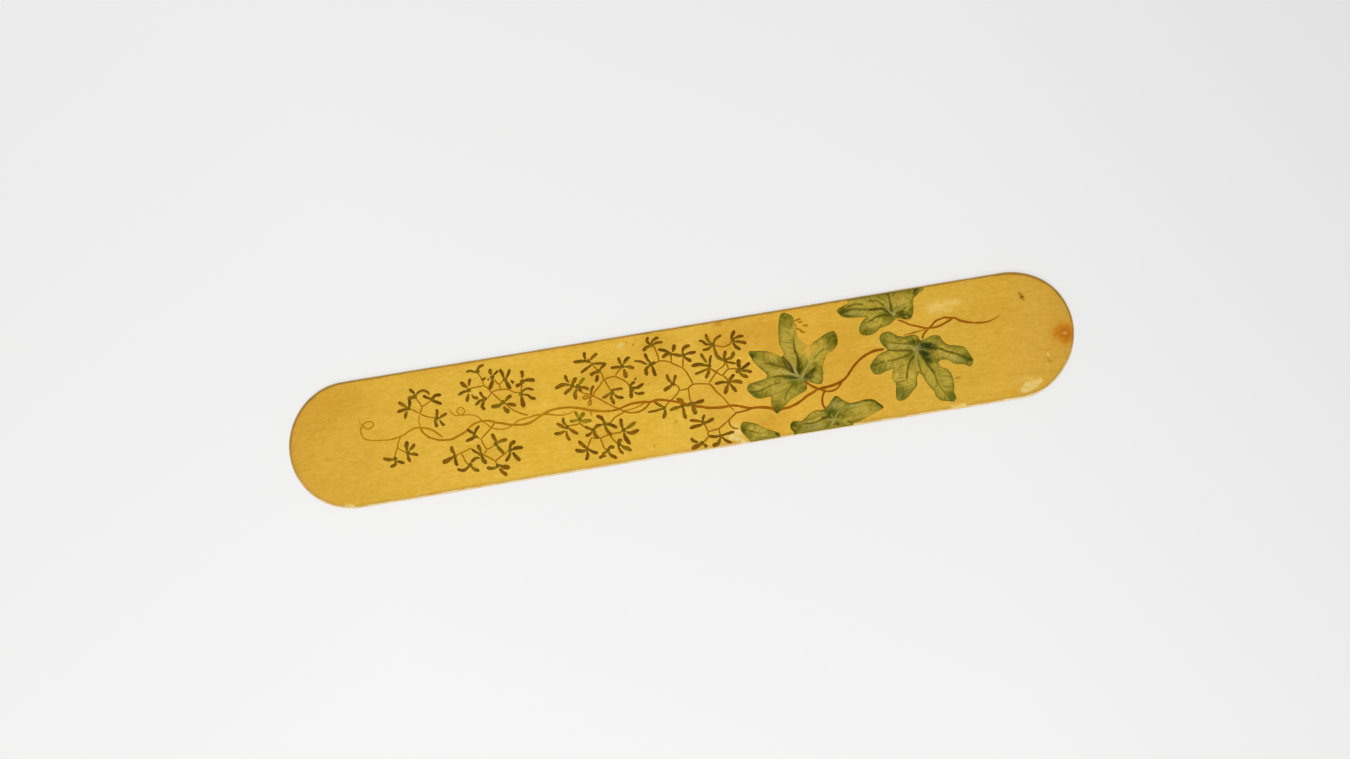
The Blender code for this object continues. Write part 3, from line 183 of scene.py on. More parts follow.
# Florets by spray: the joint where leaflets run together, then each leaflet as half-width and its points.
FLORETS = {
    "far_left": [
        ((-75.5, 7.3), [(0.46, (-75.8, 7.7), (-76.8, 8.6), (-78.0, 9.6)), (0.42, (-75.7, 7.2), (-77.2, 7.2), (-78.8, 6.9)), (0.42, (-75.9, 6.6), (-76.5, 5.7), (-76.9, 4.6)), (0.42, (-75.3, 7.5), (-74.9, 8.6), (-74.8, 9.8))]),
        ((-73.2, 10.3), [(0.44, (-73.1, 11.1), (-73.7, 11.9), (-74.4, 12.7)), (0.50, (-72.9, 10.3), (-74.0, 10.3), (-75.3, 10.0)), (0.34, (-73.0, 10.4), (-72.4, 11.1), (-71.4, 11.6), (-70.2, 11.5), (-69.4, 10.9), (-69.0, 10.1))]),
        ((-68.5, 8.8), [(0.40, (-68.8, 8.9), (-69.8, 9.5), (-71.0, 10.2)), (0.42, (-68.5, 9.0), (-67.4, 9.8), (-65.8, 9.6)), (0.42, (-68.7, 8.4), (-67.5, 7.9), (-66.1, 7.0))]),
        ((-68.1, 3.4), [(0.42, (-68.1, 3.8), (-67.9, 4.8), (-67.7, 6.0)), (0.38, (-67.5, 3.3), (-66.6, 3.8), (-65.1, 4.4)), (0.40, (-67.5, 2.8), (-67.0, 1.9), (-66.3, 1.0)), (0.46, (-68.7, 3.4), (-68.7, 2.2), (-68.4, 0.9))]),
    ],
    "low_left": [
        ((-81.4, -5.8), [(0.46, (-81.6, -5.9), (-83.2, -5.7), (-84.7, -5.1)), (0.40, (-81.4, -6.2), (-81.6, -7.4), (-83.1, -7.8)), (0.42, (-81.0, -6.5), (-80.1, -6.9), (-78.9, -7.4))]),
        ((-77.6, -4.7), [(0.50, (-77.8, -4.2), (-77.7, -2.9), (-77.3, -1.4)), (0.42, (-77.1, -4.1), (-76.3, -3.5), (-75.3, -2.5)), (0.42, (-77.1, -5.1), (-76.2, -5.3), (-74.8, -5.8)), (0.44, (-77.7, -5.1), (-77.7, -6.2), (-77.3, -7.4))]),
    ],
    "upper_left": [
        ((-54.9, 14.4), [(0.38, (-54.9, 14.1), (-56.0, 14.5), (-57.0, 14.9), (-58.1, 14.7)), (0.36, (-55.0, 14.3), (-54.6, 15.2), (-53.9, 15.7), (-52.8, 15.9))]),
        ((-58.2, 9.6), [(0.56, (-58.4, 10.4), (-59.2, 11.3), (-60.1, 12.3)), (0.42, (-57.9, 10.8), (-57.7, 11.8), (-57.2, 12.8)), (0.40, (-58.3, 9.6), (-59.6, 9.4), (-61.3, 8.8)), (0.46, (-58.3, 8.7), (-58.7, 7.8), (-59.2, 6.5)), (0.38, (-57.6, 8.3), (-57.0, 7.4), (-55.8, 7.0))]),
        ((-54.2, 6.6), [(0.38, (-53.8, 6.6), (-54.7, 7.4), (-55.2, 8.8)), (0.38, (-54.3, 6.2), (-55.6, 6.2), (-57.1, 5.2)), (0.44, (-54.4, 6.2), (-54.9, 5.2), (-55.2, 4.4), (-54.5, 3.5))]),
        ((-51.2, 12.1), [(0.50, (-51.2, 12.8), (-51.4, 13.5), (-51.4, 14.6)), (0.38, (-50.9, 12.5), (-50.2, 13.0), (-49.1, 13.7)), (0.36, (-52.9, 12.3), (-53.4, 12.1), (-54.2, 11.7)), (0.30, (-52.1, 11.9), (-52.3, 11.7), (-52.6, 11.6)), (0.56, (-51.2, 11.3), (-51.7, 10.3), (-52.3, 8.9))]),
        ((-47.8, 10.9), [(0.44, (-47.9, 11.1), (-48.2, 12.4), (-48.7, 14.1)), (0.44, (-47.2, 11.3), (-46.7, 12.2), (-46.0, 13.6)), (0.60, (-47.8, 10.6), (-47.3, 9.6), (-46.7, 8.0)), (0.38, (-46.2, 10.5), (-45.9, 10.0), (-45.5, 9.5))]),
        ((-43.2, 9.6), [(0.50, (-43.0, 10.6), (-42.8, 11.6), (-42.7, 12.7)), (0.56, (-42.6, 9.7), (-41.4, 9.8), (-39.6, 9.3)), (0.50, (-43.4, 9.2), (-44.2, 8.8), (-45.2, 8.8))]),
        ((-44.0, 6.2), [(0.34, (-44.0, 6.4), (-43.2, 7.1), (-42.0, 7.4), (-40.3, 6.8)), (0.38, (-43.4, 5.9), (-42.2, 5.7), (-41.4, 4.7), (-40.1, 4.3)), (0.58, (-44.0, 5.6), (-44.0, 4.2), (-43.9, 2.4))]),
        ((-49.3, 4.8), [(0.50, (-48.7, 5.0), (-47.8, 5.7), (-46.7, 6.5)), (0.54, (-49.6, 4.7), (-51.0, 4.0), (-52.8, 4.2)), (0.44, (-48.4, 4.3), (-47.3, 3.9), (-45.8, 3.3)), (0.58, (-49.4, 3.6), (-48.9, 2.7), (-48.1, 1.6))]),
    ],
    "lower_left": [
        ((-58.6, -3.1), [(0.42, (-58.7, -2.4), (-59.6, -1.7), (-60.5, -0.8)), (0.40, (-58.5, -2.7), (-58.0, -1.5), (-56.8, -0.5)), (0.46, (-57.7, -3.3), (-59.2, -3.6), (-61.3, -4.2))]),
        ((-53.2, -6.3), [(0.50, (-52.9, -5.8), (-53.4, -4.5), (-53.8, -3.2)), (0.42, (-52.9, -6.2), (-51.7, -5.7), (-49.8, -5.5)), (0.50, (-53.0, -6.7), (-52.3, -7.9), (-51.3, -9.4))]),
        ((-65.0, -7.8), [(0.50, (-64.9, -7.2), (-65.4, -6.0), (-65.4, -4.8)), (0.58, (-65.4, -7.9), (-66.8, -8.4), (-68.6, -9.1)), (0.44, (-64.9, -8.0), (-64.9, -9.3), (-64.6, -10.6))]),
        ((-57.8, -8.4), [(0.34, (-58.0, -8.2), (-59.1, -7.5), (-60.1, -6.5)), (0.48, (-57.6, -7.9), (-57.8, -6.8), (-58.2, -5.6)), (0.56, (-57.7, -8.8), (-57.3, -10.0), (-56.6, -11.3)), (0.40, (-58.2, -9.3), (-59.5, -9.3), (-60.8, -10.2))]),
        ((-61.1, -10.9), [(0.42, (-61.3, -10.8), (-62.6, -11.9), (-63.6, -12.0), (-64.9, -11.3)), (0.46, (-60.9, -11.3), (-60.1, -12.2), (-58.9, -13.0))]),
        ((-49.5, -8.5), [(0.50, (-49.6, -8.2), (-49.1, -7.1), (-47.7, -6.2)), (0.52, (-49.0, -8.5), (-47.6, -8.3), (-45.8, -8.5)), (0.54, (-48.9, -9.3), (-48.3, -10.5), (-47.2, -12.0)), (0.44, (-49.6, -8.9), (-50.0, -10.2), (-51.4, -11.5))]),
        ((-53.6, -12.3), [(0.48, (-53.9, -12.7), (-55.2, -12.8), (-56.8, -12.3)), (0.58, (-53.1, -12.3), (-51.9, -12.9), (-50.3, -13.4)), (0.52, (-53.3, -13.1), (-52.6, -14.3), (-51.4, -15.4))]),
    ],
    "upper_middle": [
        ((-29.7, 6.2), [(0.40, (-30.4, 7.2), (-31.0, 8.2), (-31.1, 9.5)), (0.52, (-30.3, 6.6), (-32.4, 6.9), (-34.6, 6.2)), (0.50, (-29.8, 5.7), (-31.0, 5.1), (-32.2, 4.1)), (0.46, (-28.7, 5.0), (-29.3, 3.8), (-29.3, 2.2)), (0.56, (-29.8, 6.6), (-29.1, 7.3), (-28.2, 8.3))]),
        ((-28.2, 5.8), [(0.40, (-28.0, 6.0), (-27.1, 6.9), (-25.9, 7.8)), (0.44, (-27.9, 5.4), (-26.7, 5.2), (-25.2, 4.4)), (0.40, (-27.9, 5.2), (-27.7, 4.2))]),
        ((-24.2, 12.2), [(0.46, (-24.9, 12.8), (-25.0, 13.8), (-24.8, 14.9)), (0.44, (-23.5, 12.5), (-22.6, 13.2), (-21.3, 13.9)), (0.50, (-24.0, 12.2), (-26.0, 12.4), (-28.4, 12.6)), (0.40, (-23.4, 11.1), (-25.0, 10.2), (-26.8, 9.2)), (0.38, (-23.5, 11.4), (-21.6, 11.1), (-19.3, 10.7))]),
        ((-21.9, 8.9), [(0.50, (-22.2, 9.1), (-23.1, 8.7), (-24.4, 8.3)), (0.50, (-22.2, 8.0), (-22.6, 7.0), (-23.0, 6.1)), (0.36, (-21.7, 8.9), (-20.9, 9.8), (-19.5, 10.6))]),
        ((-15.1, 9.3), [(0.44, (-15.3, 9.9), (-15.7, 10.8), (-15.8, 11.9)), (0.44, (-14.7, 9.8), (-13.9, 10.8), (-12.6, 11.5)), (0.42, (-15.4, 9.2), (-16.6, 9.2), (-18.4, 9.3)), (0.42, (-14.5, 9.0), (-13.4, 8.8), (-11.9, 8.1)), (0.52, (-14.8, 8.4), (-14.7, 7.2), (-14.5, 5.8))]),
        ((-19.0, 2.4), [(0.42, (-19.5, 3.2), (-17.8, 3.2), (-15.9, 3.1)), (0.40, (-19.3, 2.6), (-20.6, 1.9), (-22.1, 1.5)), (0.48, (-19.3, 2.0), (-19.5, 0.8), (-18.9, -0.8)), (0.44, (-18.5, 1.8), (-17.6, 1.0), (-16.1, 0.5))]),
        ((-13.4, 2.5), [(0.42, (-13.8, 3.6), (-13.0, 4.3), (-12.3, 4.2)), (0.36, (-12.3, 5.4), (-12.0, 4.9)), (0.42, (-13.4, 3.0), (-12.0, 2.7), (-10.0, 3.6)), (0.40, (-13.0, 1.6), (-11.9, 1.0), (-10.2, 1.0)), (0.48, (-13.9, 4.0), (-13.8, 2.2), (-14.1, 0.0))]),
        (None, [(0.42, (-24.9, 2.9), (-24.7, 4.0), (-23.8, 5.3))]),
    ],
    "lower_middle": [
        ((-29.2, -3.3), [(0.42, (-29.5, -3.1), (-29.7, -2.1), (-30.1, -0.9)), (0.52, (-29.0, -3.1), (-28.3, -2.3), (-27.5, -1.6)), (0.42, (-29.5, -3.5), (-30.8, -3.5), (-32.0, -3.3)), (0.56, (-29.0, -3.9), (-27.6, -4.1), (-25.9, -4.1))]),
        ((-32.9, -4.9), [(0.40, (-33.1, -4.3), (-33.7, -3.3), (-33.5, -2.1)), (0.44, (-33.2, -5.1), (-34.4, -4.4), (-35.7, -3.3)), (0.48, (-33.7, -5.9), (-35.2, -6.3), (-36.9, -6.1)), (0.42, (-33.3, -5.9), (-33.3, -7.2), (-32.7, -8.8)), (0.44, (-32.5, -5.3), (-31.4, -6.4), (-30.1, -7.3))]),
        ((-26.0, -6.9), [(0.40, (-26.1, -6.7), (-27.0, -6.3), (-28.1, -5.5)), (0.40, (-26.3, -7.4), (-27.2, -7.9), (-28.4, -8.2)), (0.46, (-25.9, -7.5), (-25.6, -8.6), (-24.7, -9.4)), (0.36, (-25.7, -6.6), (-24.6, -5.8), (-23.2, -5.9))]),
        ((-22.5, -5.7), [(0.48, (-22.5, -5.2), (-23.1, -4.0), (-24.5, -3.0)), (0.46, (-22.1, -5.9), (-20.8, -6.3), (-19.2, -7.4)), (0.46, (-22.6, -6.2), (-22.0, -7.8), (-21.1, -9.4))]),
        ((-17.6, -8.3), [(0.48, (-17.8, -7.8), (-18.0, -6.5), (-17.9, -4.9)), (0.46, (-17.1, -8.0), (-15.7, -7.5), (-13.9, -6.5)), (0.52, (-17.0, -8.9), (-15.4, -9.4), (-13.3, -8.9)), (0.50, (-17.7, -8.9), (-17.4, -10.6), (-16.4, -12.5))]),
        ((-28.4, -11.8), [(0.48, (-28.4, -11.5), (-29.4, -10.6), (-30.5, -9.1)), (0.50, (-28.8, -12.1), (-30.2, -12.1), (-31.8, -11.4)), (0.48, (-28.5, -12.4), (-28.6, -13.6), (-29.4, -14.8)), (0.44, (-28.1, -11.9), (-27.1, -12.8), (-25.6, -13.4))]),
        ((-22.9, -13.2), [(0.46, (-22.8, -12.9), (-22.0, -12.3), (-20.9, -12.7)), (0.40, (-23.0, -13.2), (-23.7, -13.6), (-24.7, -14.1)), (0.36, (-23.5, -14.6), (-24.6, -14.5), (-25.7, -14.8)), (0.50, (-22.7, -13.7), (-22.0, -14.7), (-20.7, -15.7))]),
        ((-19.5, -11.9), [(0.44, (-19.9, -11.5), (-19.2, -10.9), (-18.4, -10.9)), (0.54, (-19.0, -12.3), (-17.9, -13.2), (-16.3, -14.3)), (0.42, (-19.8, -11.8), (-19.6, -13.4), (-18.7, -14.8))]),
    ],
    "heart": [
        ((-5.6, -4.1), [(0.46, (-5.9, -3.6), (-6.9, -2.9), (-8.1, -1.6)), (0.36, (-5.7, -4.1), (-7.8, -4.4), (-10.2, -4.5)), (0.48, (-5.4, -4.4), (-5.6, -5.8), (-6.4, -6.9))]),
        ((-0.5, -4.3), [(0.46, (-0.6, -4.3), (-2.3, -4.6), (-4.2, -4.9)), (0.42, (-0.2, -3.7), (-0.4, -2.8), (-1.8, -2.1)), (0.48, (-0.3, -4.8), (-0.4, -6.4), (0.0, -8.1)), (0.44, (-0.4, -4.2), (0.9, -4.3), (2.5, -4.0))]),
        ((-2.1, 2.2), [(0.42, (-2.3, 2.4), (-3.1, 3.5), (-3.3, 5.1)), (0.40, (-1.8, 2.4), (-1.4, 3.4), (-0.8, 4.5)), (0.54, (-2.4, 1.9), (-3.5, 1.3), (-4.9, 0.6))]),
    ],
    "upper_heart": [
        ((-6.3, 13.7), [(0.42, (-6.5, 13.9), (-7.2, 14.9), (-6.8, 16.2)), (0.38, (-6.2, 14.1), (-5.4, 15.1), (-3.8, 15.5)), (0.40, (-5.9, 13.6), (-4.7, 14.1), (-2.9, 14.0)), (0.46, (-6.5, 13.3), (-7.7, 13.3), (-8.8, 12.4))]),
        ((-7.2, 8.5), [(0.44, (-7.2, 8.8), (-8.0, 10.1), (-8.5, 11.8)), (0.38, (-8.2, 8.6), (-9.9, 9.7), (-11.7, 10.1)), (0.50, (-7.6, 8.2), (-8.7, 7.3), (-8.9, 5.5)), (0.48, (-6.9, 7.9), (-6.7, 6.5), (-6.4, 5.0)), (0.40, (-7.2, 8.9), (-6.5, 8.7), (-5.9, 9.0))]),
        ((-1.4, 10.4), [(0.42, (-1.7, 11.0), (-3.2, 11.8), (-4.7, 12.2)), (0.50, (-0.7, 10.9), (-0.3, 11.7), (0.1, 12.9)), (0.46, (-1.4, 10.5), (-2.5, 10.5), (-3.9, 9.8)), (0.42, (-1.0, 10.3), (0.3, 9.9), (1.7, 9.3))]),
        ((2.1, 9.5), [(0.42, (1.9, 9.8), (2.2, 11.1), (3.2, 11.8), (4.4, 11.9)), (0.46, (2.6, 9.7), (4.0, 9.8), (5.7, 9.8)), (0.42, (2.3, 9.0), (3.0, 8.2), (4.1, 7.5))]),
    ],
    "right": [
        ((2.4, -4.2), [(0.48, (2.4, -4.1), (3.8, -4.0), (5.8, -3.7)), (0.56, (2.3, -4.6), (2.5, -5.9), (2.8, -7.3))]),
        ((10.5, 11.1), [(0.44, (10.3, 11.4), (9.4, 12.6), (9.1, 14.4)), (0.36, (10.2, 11.1), (8.6, 11.5), (8.0, 12.4), (6.8, 12.7)), (0.40, (10.2, 10.8), (8.9, 10.0), (7.5, 10.1)), (0.40, (10.9, 11.2), (11.6, 12.5), (13.4, 13.3)), (0.42, (10.7, 10.9), (10.9, 9.2), (11.3, 7.6), (12.6, 6.2))]),
        ((16.3, 11.2), [(0.50, (16.0, 11.2), (16.2, 12.5), (17.2, 14.0)), (0.42, (16.6, 11.8), (18.0, 12.1), (19.5, 12.1)), (0.46, (16.6, 10.9), (18.1, 10.6), (19.9, 9.8)), (0.48, (16.2, 10.8), (16.8, 9.5), (18.0, 8.3))]),
        ((13.2, 6.3), [(0.44, (13.0, 6.4), (13.3, 7.6), (13.8, 8.9)), (0.50, (13.5, 6.4), (15.1, 6.7), (16.1, 8.3)), (0.34, (13.1, 6.1), (14.4, 5.4), (16.1, 4.8)), (0.46, (12.8, 6.5), (11.7, 7.1), (11.2, 8.1))]),
        ((8.6, 5.5), [(0.42, (8.2, 6.3), (7.4, 7.8), (6.9, 9.3)), (0.40, (8.9, 5.6), (9.1, 7.0), (9.7, 8.3)), (0.48, (8.3, 5.5), (6.1, 6.3), (3.7, 6.2)), (0.42, (8.3, 4.8), (6.4, 4.2), (4.3, 3.8)), (0.48, (8.6, 5.2), (8.2, 3.6), (7.1, 2.1))]),
        ((16.7, 2.9), [(0.58, (16.8, 3.3), (16.8, 4.5), (16.9, 6.0)), (0.44, (17.0, 3.1), (18.3, 3.6), (20.0, 4.5)), (0.46, (17.1, 2.6), (18.5, 2.4), (20.2, 1.8)), (0.46, (16.6, 2.3), (17.4, 1.3), (18.9, 0.5)), (0.46, (16.6, 2.9), (15.6, 2.4))]),
        ((13.3, 0.0), [(0.42, (13.4, 0.5), (14.1, 1.2), (15.2, 2.0)), (0.40, (13.0, 0.1), (11.2, 0.3), (9.3, 0.2)), (0.50, (13.7, 0.2), (15.3, -0.1), (17.1, -0.7)), (0.50, (13.0, -0.5), (12.4, -1.6), (11.6, -3.1)), (0.48, (13.6, -0.5), (14.2, -1.6), (15.0, -3.0))]),
    ],
    "low_right": [
        ((4.5, -9.9), [(0.40, (4.2, -9.4), (2.6, -9.0), (0.8, -8.6)), (0.46, (4.2, -10.3), (2.2, -10.5), (0.4, -10.8)), (0.40, (4.5, -9.5), (4.6, -8.5), (5.3, -7.7)), (0.44, (4.8, -10.1), (6.1, -9.7), (7.6, -9.1))]),
        ((8.7, -14.4), [(0.42, (8.5, -14.1), (7.0, -14.2), (5.2, -13.7)), (0.42, (8.8, -14.1), (10.6, -13.9), (12.6, -13.7)), (0.54, (8.5, -14.8), (7.6, -16.1), (5.9, -16.7)), (0.42, (9.0, -14.7), (10.0, -15.8), (11.4, -16.6))]),
        ((3.2, -15.3), [(0.44, (2.2, -15.0), (1.0, -14.4), (0.3, -13.5)), (0.58, (3.4, -15.2), (1.7, -16.0), (0.0, -16.5)), (0.48, (3.8, -15.6), (4.2, -16.8)), (0.36, (3.7, -15.2), (4.5, -14.6), (5.1, -13.9))]),
    ],
}


# ---------------------------------------------------------------- numbers and shapes
def linear(rgb):
    """sRGB 0-255 to linear."""
    c = np.asarray(rgb, float) / 255.0
    return np.where(c <= 0.04045, c / 12.92, ((c + 0.055) / 1.055) ** 2.4)


def lattice(i, j, seed):
    h = (i.astype(np.int64) * 374761393 + j.astype(np.int64) * 668265263 + seed * 1442695041) & 0xFFFFFFFF
    h = ((h ^ (h >> 13)) * 1274126177) & 0xFFFFFFFF
    h = ((h ^ (h >> 16)) * 2246822519) & 0xFFFFFFFF
    return ((h ^ (h >> 15)) & 0xFFFFFF) / float(0xFFFFFF)


def noise(x, y, seed=0):
    """Smooth value noise, -1 to 1."""
    x, y = np.asarray(x, float), np.asarray(y, float)
    i, j = np.floor(x), np.floor(y)
    u, v = x - i, y - j
    u, v = u * u * (3 - 2 * u), v * v * (3 - 2 * v)
    a, b = lattice(i, j, seed), lattice(i + 1, j, seed)
    c, d = lattice(i, j + 1, seed), lattice(i + 1, j + 1, seed)
    return ((a * (1 - u) + b * u) * (1 - v) + (c * (1 - u) + d * u) * v) * 2 - 1


def layered(x, y, seed=0, octaves=3):
    total, size = 0.0, 1.0
    for k in range(octaves):
        total = total + noise(x * 2**k, y * 2**k, seed + 17 * k) * size
        size *= 0.5
    return total / (2 - 2 ** (1 - octaves))


def step(lo, hi, v):
    t = np.clip((np.asarray(v, float) - lo) / (hi - lo), 0, 1)
    return t * t * (3 - 2 * t)


def blend(a, b, w):
    w = np.asarray(w)[..., None]
    return np.asarray(a) * (1 - w) + np.asarray(b) * w


def curve_through(points, per_segment, closed=False):
    """Catmull-Rom through the points, as an array."""
    p = np.asarray(points, float)
    if closed:
        p = np.vstack([p[-1], p, p[0], p[1]])
    else:
        p = np.vstack([2 * p[0] - p[1], p, 2 * p[-1] - p[-2]])
    out = []
    t = np.arange(per_segment)[:, None] / per_segment
    for a, b, c, d in zip(p, p[1:], p[2:], p[3:]):
        out.append(0.5 * (2 * b + (c - a) * t + (2 * a - 5 * b + 4 * c - d) * t**2 + (3 * b - a - 3 * c + d) * t**3))
    out = np.vstack(out)
    return out if closed else np.vstack([out, p[-2]])


def even(points, spacing, closed=False):
    """The same line with points at even steps."""
    p = np.asarray(points, float)
    if closed:
        p = np.vstack([p, p[0]])
    run = np.concatenate([[0], np.cumsum(np.hypot(*np.diff(p, axis=0).T))])
    n = max(3, int(round(run[-1] / spacing)))
    s = np.linspace(0, run[-1], n + 1)
    out = np.stack([np.interp(s, run, p[:, 0]), np.interp(s, run, p[:, 1])], 1)
    return out[:-1] if closed else out


def to_line(x, y, line):
    """Distance of each point to a polyline, how far along it (0 to 1), and on which side (+1 left)."""
    line = np.asarray(line, float)
    a, b = line[:-1], line[1:]
    run = np.hypot(*(b - a).T)
    start = np.concatenate([[0], np.cumsum(run)])
    best = np.full(np.shape(x), 1e9)
    along, side = np.zeros(np.shape(x)), np.ones(np.shape(x))
    for k in range(len(a)):
        dx, dy = b[k] - a[k]
        t = np.clip(((x - a[k, 0]) * dx + (y - a[k, 1]) * dy) / max(run[k] ** 2, 1e-12), 0, 1)
        ex, ey = x - a[k, 0] - t * dx, y - a[k, 1] - t * dy
        d = np.hypot(ex, ey)
        near = d < best
        best = np.where(near, d, best)
        along = np.where(near, (start[k] + t * run[k]) / start[-1], along)
        side = np.where(near, np.sign(dx * ey - dy * ex), side)
    return best, along, side


def is_inside(x, y, loop):
    loop = np.asarray(loop, float)
    odd = np.zeros(np.shape(x), bool)
    for (ax, ay), (bx, by) in zip(loop, np.roll(loop, -1, axis=0)):
        if ay == by:
            continue
        odd ^= ((ay > y) != (by > y)) & (x < ax + (y - ay) / (by - ay) * (bx - ax))
    return odd


def half_width(x):
    return RADIUS - WAIST * (1 - np.minimum(1, np.abs(x) / WIDEST) ** 2)


def end_radius(turn):
    return RADIUS * (1 + END_SKEW * np.sin(2 * turn) * (1 - np.abs(np.sin(turn)) ** 6))


def inset(x, y):
    """How far inside the slat's outline a point lies."""
    x, y = np.asarray(x, float), np.asarray(y, float)
    sign = np.where(x < 0, -1.0, 1.0)
    turn = np.arctan2(y * sign, np.maximum(1e-9, x * sign - REACH))
    beyond = x * sign > REACH
    r = np.hypot(x * sign - REACH, y)
    return np.where(beyond, end_radius(turn) - r, half_width(x) - np.abs(y))


def rounding(x, y):
    """The worn radius of the edge, which wanders a little along it."""
    return ROUNDING * (1 + 0.16 * noise(np.asarray(x) / 7.0, np.asarray(y) / 7.0, 5) + 0.07 * noise(np.asarray(x) / 1.9, np.asarray(y) / 1.9, 6))


def height(x, y):
    """The top face's height, which falls away over the rounded edge."""
    d, r = inset(x, y), rounding(x, y)
    in_round = np.clip(r - d, 0, r * 0.999)
    return TOP - (r - np.sqrt(np.maximum(r * r - in_round * in_round, 0)))


SHEEN = np.array([0.014, 0.010, 0.002])


def mesh_piece(name, verts, faces, colours=None, floats=None, material=None):
    mesh = bpy.data.meshes.new(name)
    mesh.from_pydata((np.asarray(verts, float) * MM).tolist(), [], faces)
    mesh.validate(clean_customdata=False)
    mesh.update()
    if colours is not None:
        # Tones are written as they look under the varnish's pale sheen, which the shader adds again.
        colours = np.asarray(colours, float)
        layer = mesh.attributes.new("tone", "FLOAT_COLOR", "POINT")
        rgba = np.ones((len(verts), 4), np.float32)
        rgba[:, :3] = np.maximum(colours - SHEEN, colours * 0.25)
        layer.data.foreach_set("color", rgba.ravel())
    for key, values in (floats or {}).items():
        layer = mesh.attributes.new(key, "FLOAT", "POINT")
        layer.data.foreach_set("value", np.asarray(values, np.float32))
    mesh.polygons.foreach_set("use_smooth", np.ones(len(mesh.polygons), bool))
    piece = bpy.data.objects.new(name, mesh)
    bpy.context.scene.collection.objects.link(piece)
    if material:
        mesh.materials.append(material)
    return piece


class Build:
    """Gathers corners, faces and their colours for one piece."""

    def __init__(self):
        self.verts, self.faces, self.colours, self.bare, self.count = [], [], [], [], 0

    def add(self, verts, faces, colours, bare=None):
        n = self.count
        self.verts.append(np.asarray(verts, float))
        self.colours.append(np.asarray(colours, float))
        self.bare.append(np.zeros(len(verts)) if bare is None else np.asarray(bare, float))
        self.faces += [tuple(int(i) + n for i in f) for f in faces]
        self.count += len(verts)

    def piece(self, name, material, key="bare"):
        return mesh_piece(name, np.vstack(self.verts), self.faces, np.vstack(self.colours), {key: np.concatenate(self.bare)}, material)


def filled(loops, spacing, jitter=0.25, seed=1, extra=None):
    """Triangles that fill closed loops, with inner points on a loose grid. Returns points and triangles."""
    rim = np.vstack(loops)
    edges, n = [], 0
    for loop in loops:
        edges += [(n + k, n + (k + 1) % len(loop)) for k in range(len(loop))]
        n += len(loop)
    lo, hi = rim.min(axis=0), rim.max(axis=0)
    gx, gy = np.meshgrid(np.arange(lo[0], hi[0], spacing), np.arange(lo[1], hi[1], spacing * 0.87))
    gx = gx + (np.arange(gx.shape[0]) % 2 * 0.5 * spacing)[:, None]
    gx, gy = gx.ravel(), gy.ravel()
    gx = gx + jitter * spacing * noise(gx * 7.3, gy * 7.9, seed)
    gy = gy + jitter * spacing * noise(gx * 6.1, gy * 8.3, seed + 1)
    keep = np.zeros(len(gx), bool)
    for loop in loops:
        keep ^= is_inside(gx, gy, loop)
    for loop in loops:
        closed = np.vstack([loop, loop[:1]])
        keep &= to_line(gx, gy, closed)[0] > 0.45 * spacing
    inner = np.stack([gx[keep], gy[keep]], 1)
    if extra is not None and len(extra):
        inner = np.vstack([inner, extra])
    points = [Vector(p) for p in np.vstack([rim, inner]).tolist()]
    verts, _, faces, _, _, _ = delaunay_2d_cdt(points, edges, [], 0, 1e-6, True)
    xy = np.array([tuple(v) for v in verts])
    tri = np.array(faces)
    mid = xy[tri].mean(axis=1)
    odd = np.zeros(len(tri), bool)
    for loop in loops:
        odd ^= is_inside(mid[:, 0], mid[:, 1], loop)
    tri = tri[odd]
    area = np.cross(xy[tri[:, 1]] - xy[tri[:, 0]], xy[tri[:, 2]] - xy[tri[:, 0]])
    tri[area < 0] = tri[area < 0][:, ::-1]
    tri = tri[np.abs(area) > 1e-9]
    return xy, tri


def closed_film(xy, tri, lift):
    """A closed skin: the triangles lifted off the wood by lift, over a copy that lies on the wood."""
    n = len(xy)
    ground = height(xy[:, 0], xy[:, 1])
    top = np.column_stack([xy, ground + lift])
    low = np.column_stack([xy, ground + 0.0008])
    used = {(int(a), int(b)) for t in tri for a, b in ((t[0], t[1]), (t[1], t[2]), (t[2], t[0]))}
    faces = [tuple(map(int, t)) for t in tri] + [(int(t[2]) + n, int(t[1]) + n, int(t[0]) + n) for t in tri]
    faces += [(b, a, a + n, b + n) for a, b in used if (b, a) not in used]
    return np.vstack([top, low]), faces
# ---------------------------------------------------------------- how the leaves are painted
PIGMENTS = {
    "deep": (24, 42, 22),
    "dark": (62, 60, 0),
    "green": (84, 94, 22),
    "moss": (100, 96, 10),
    "olive": (130, 116, 24),
    "straw": (190, 164, 64),
    "pale": (170, 162, 92),
    "grey": (136, 134, 78),
    "brown": (150, 112, 22),
}
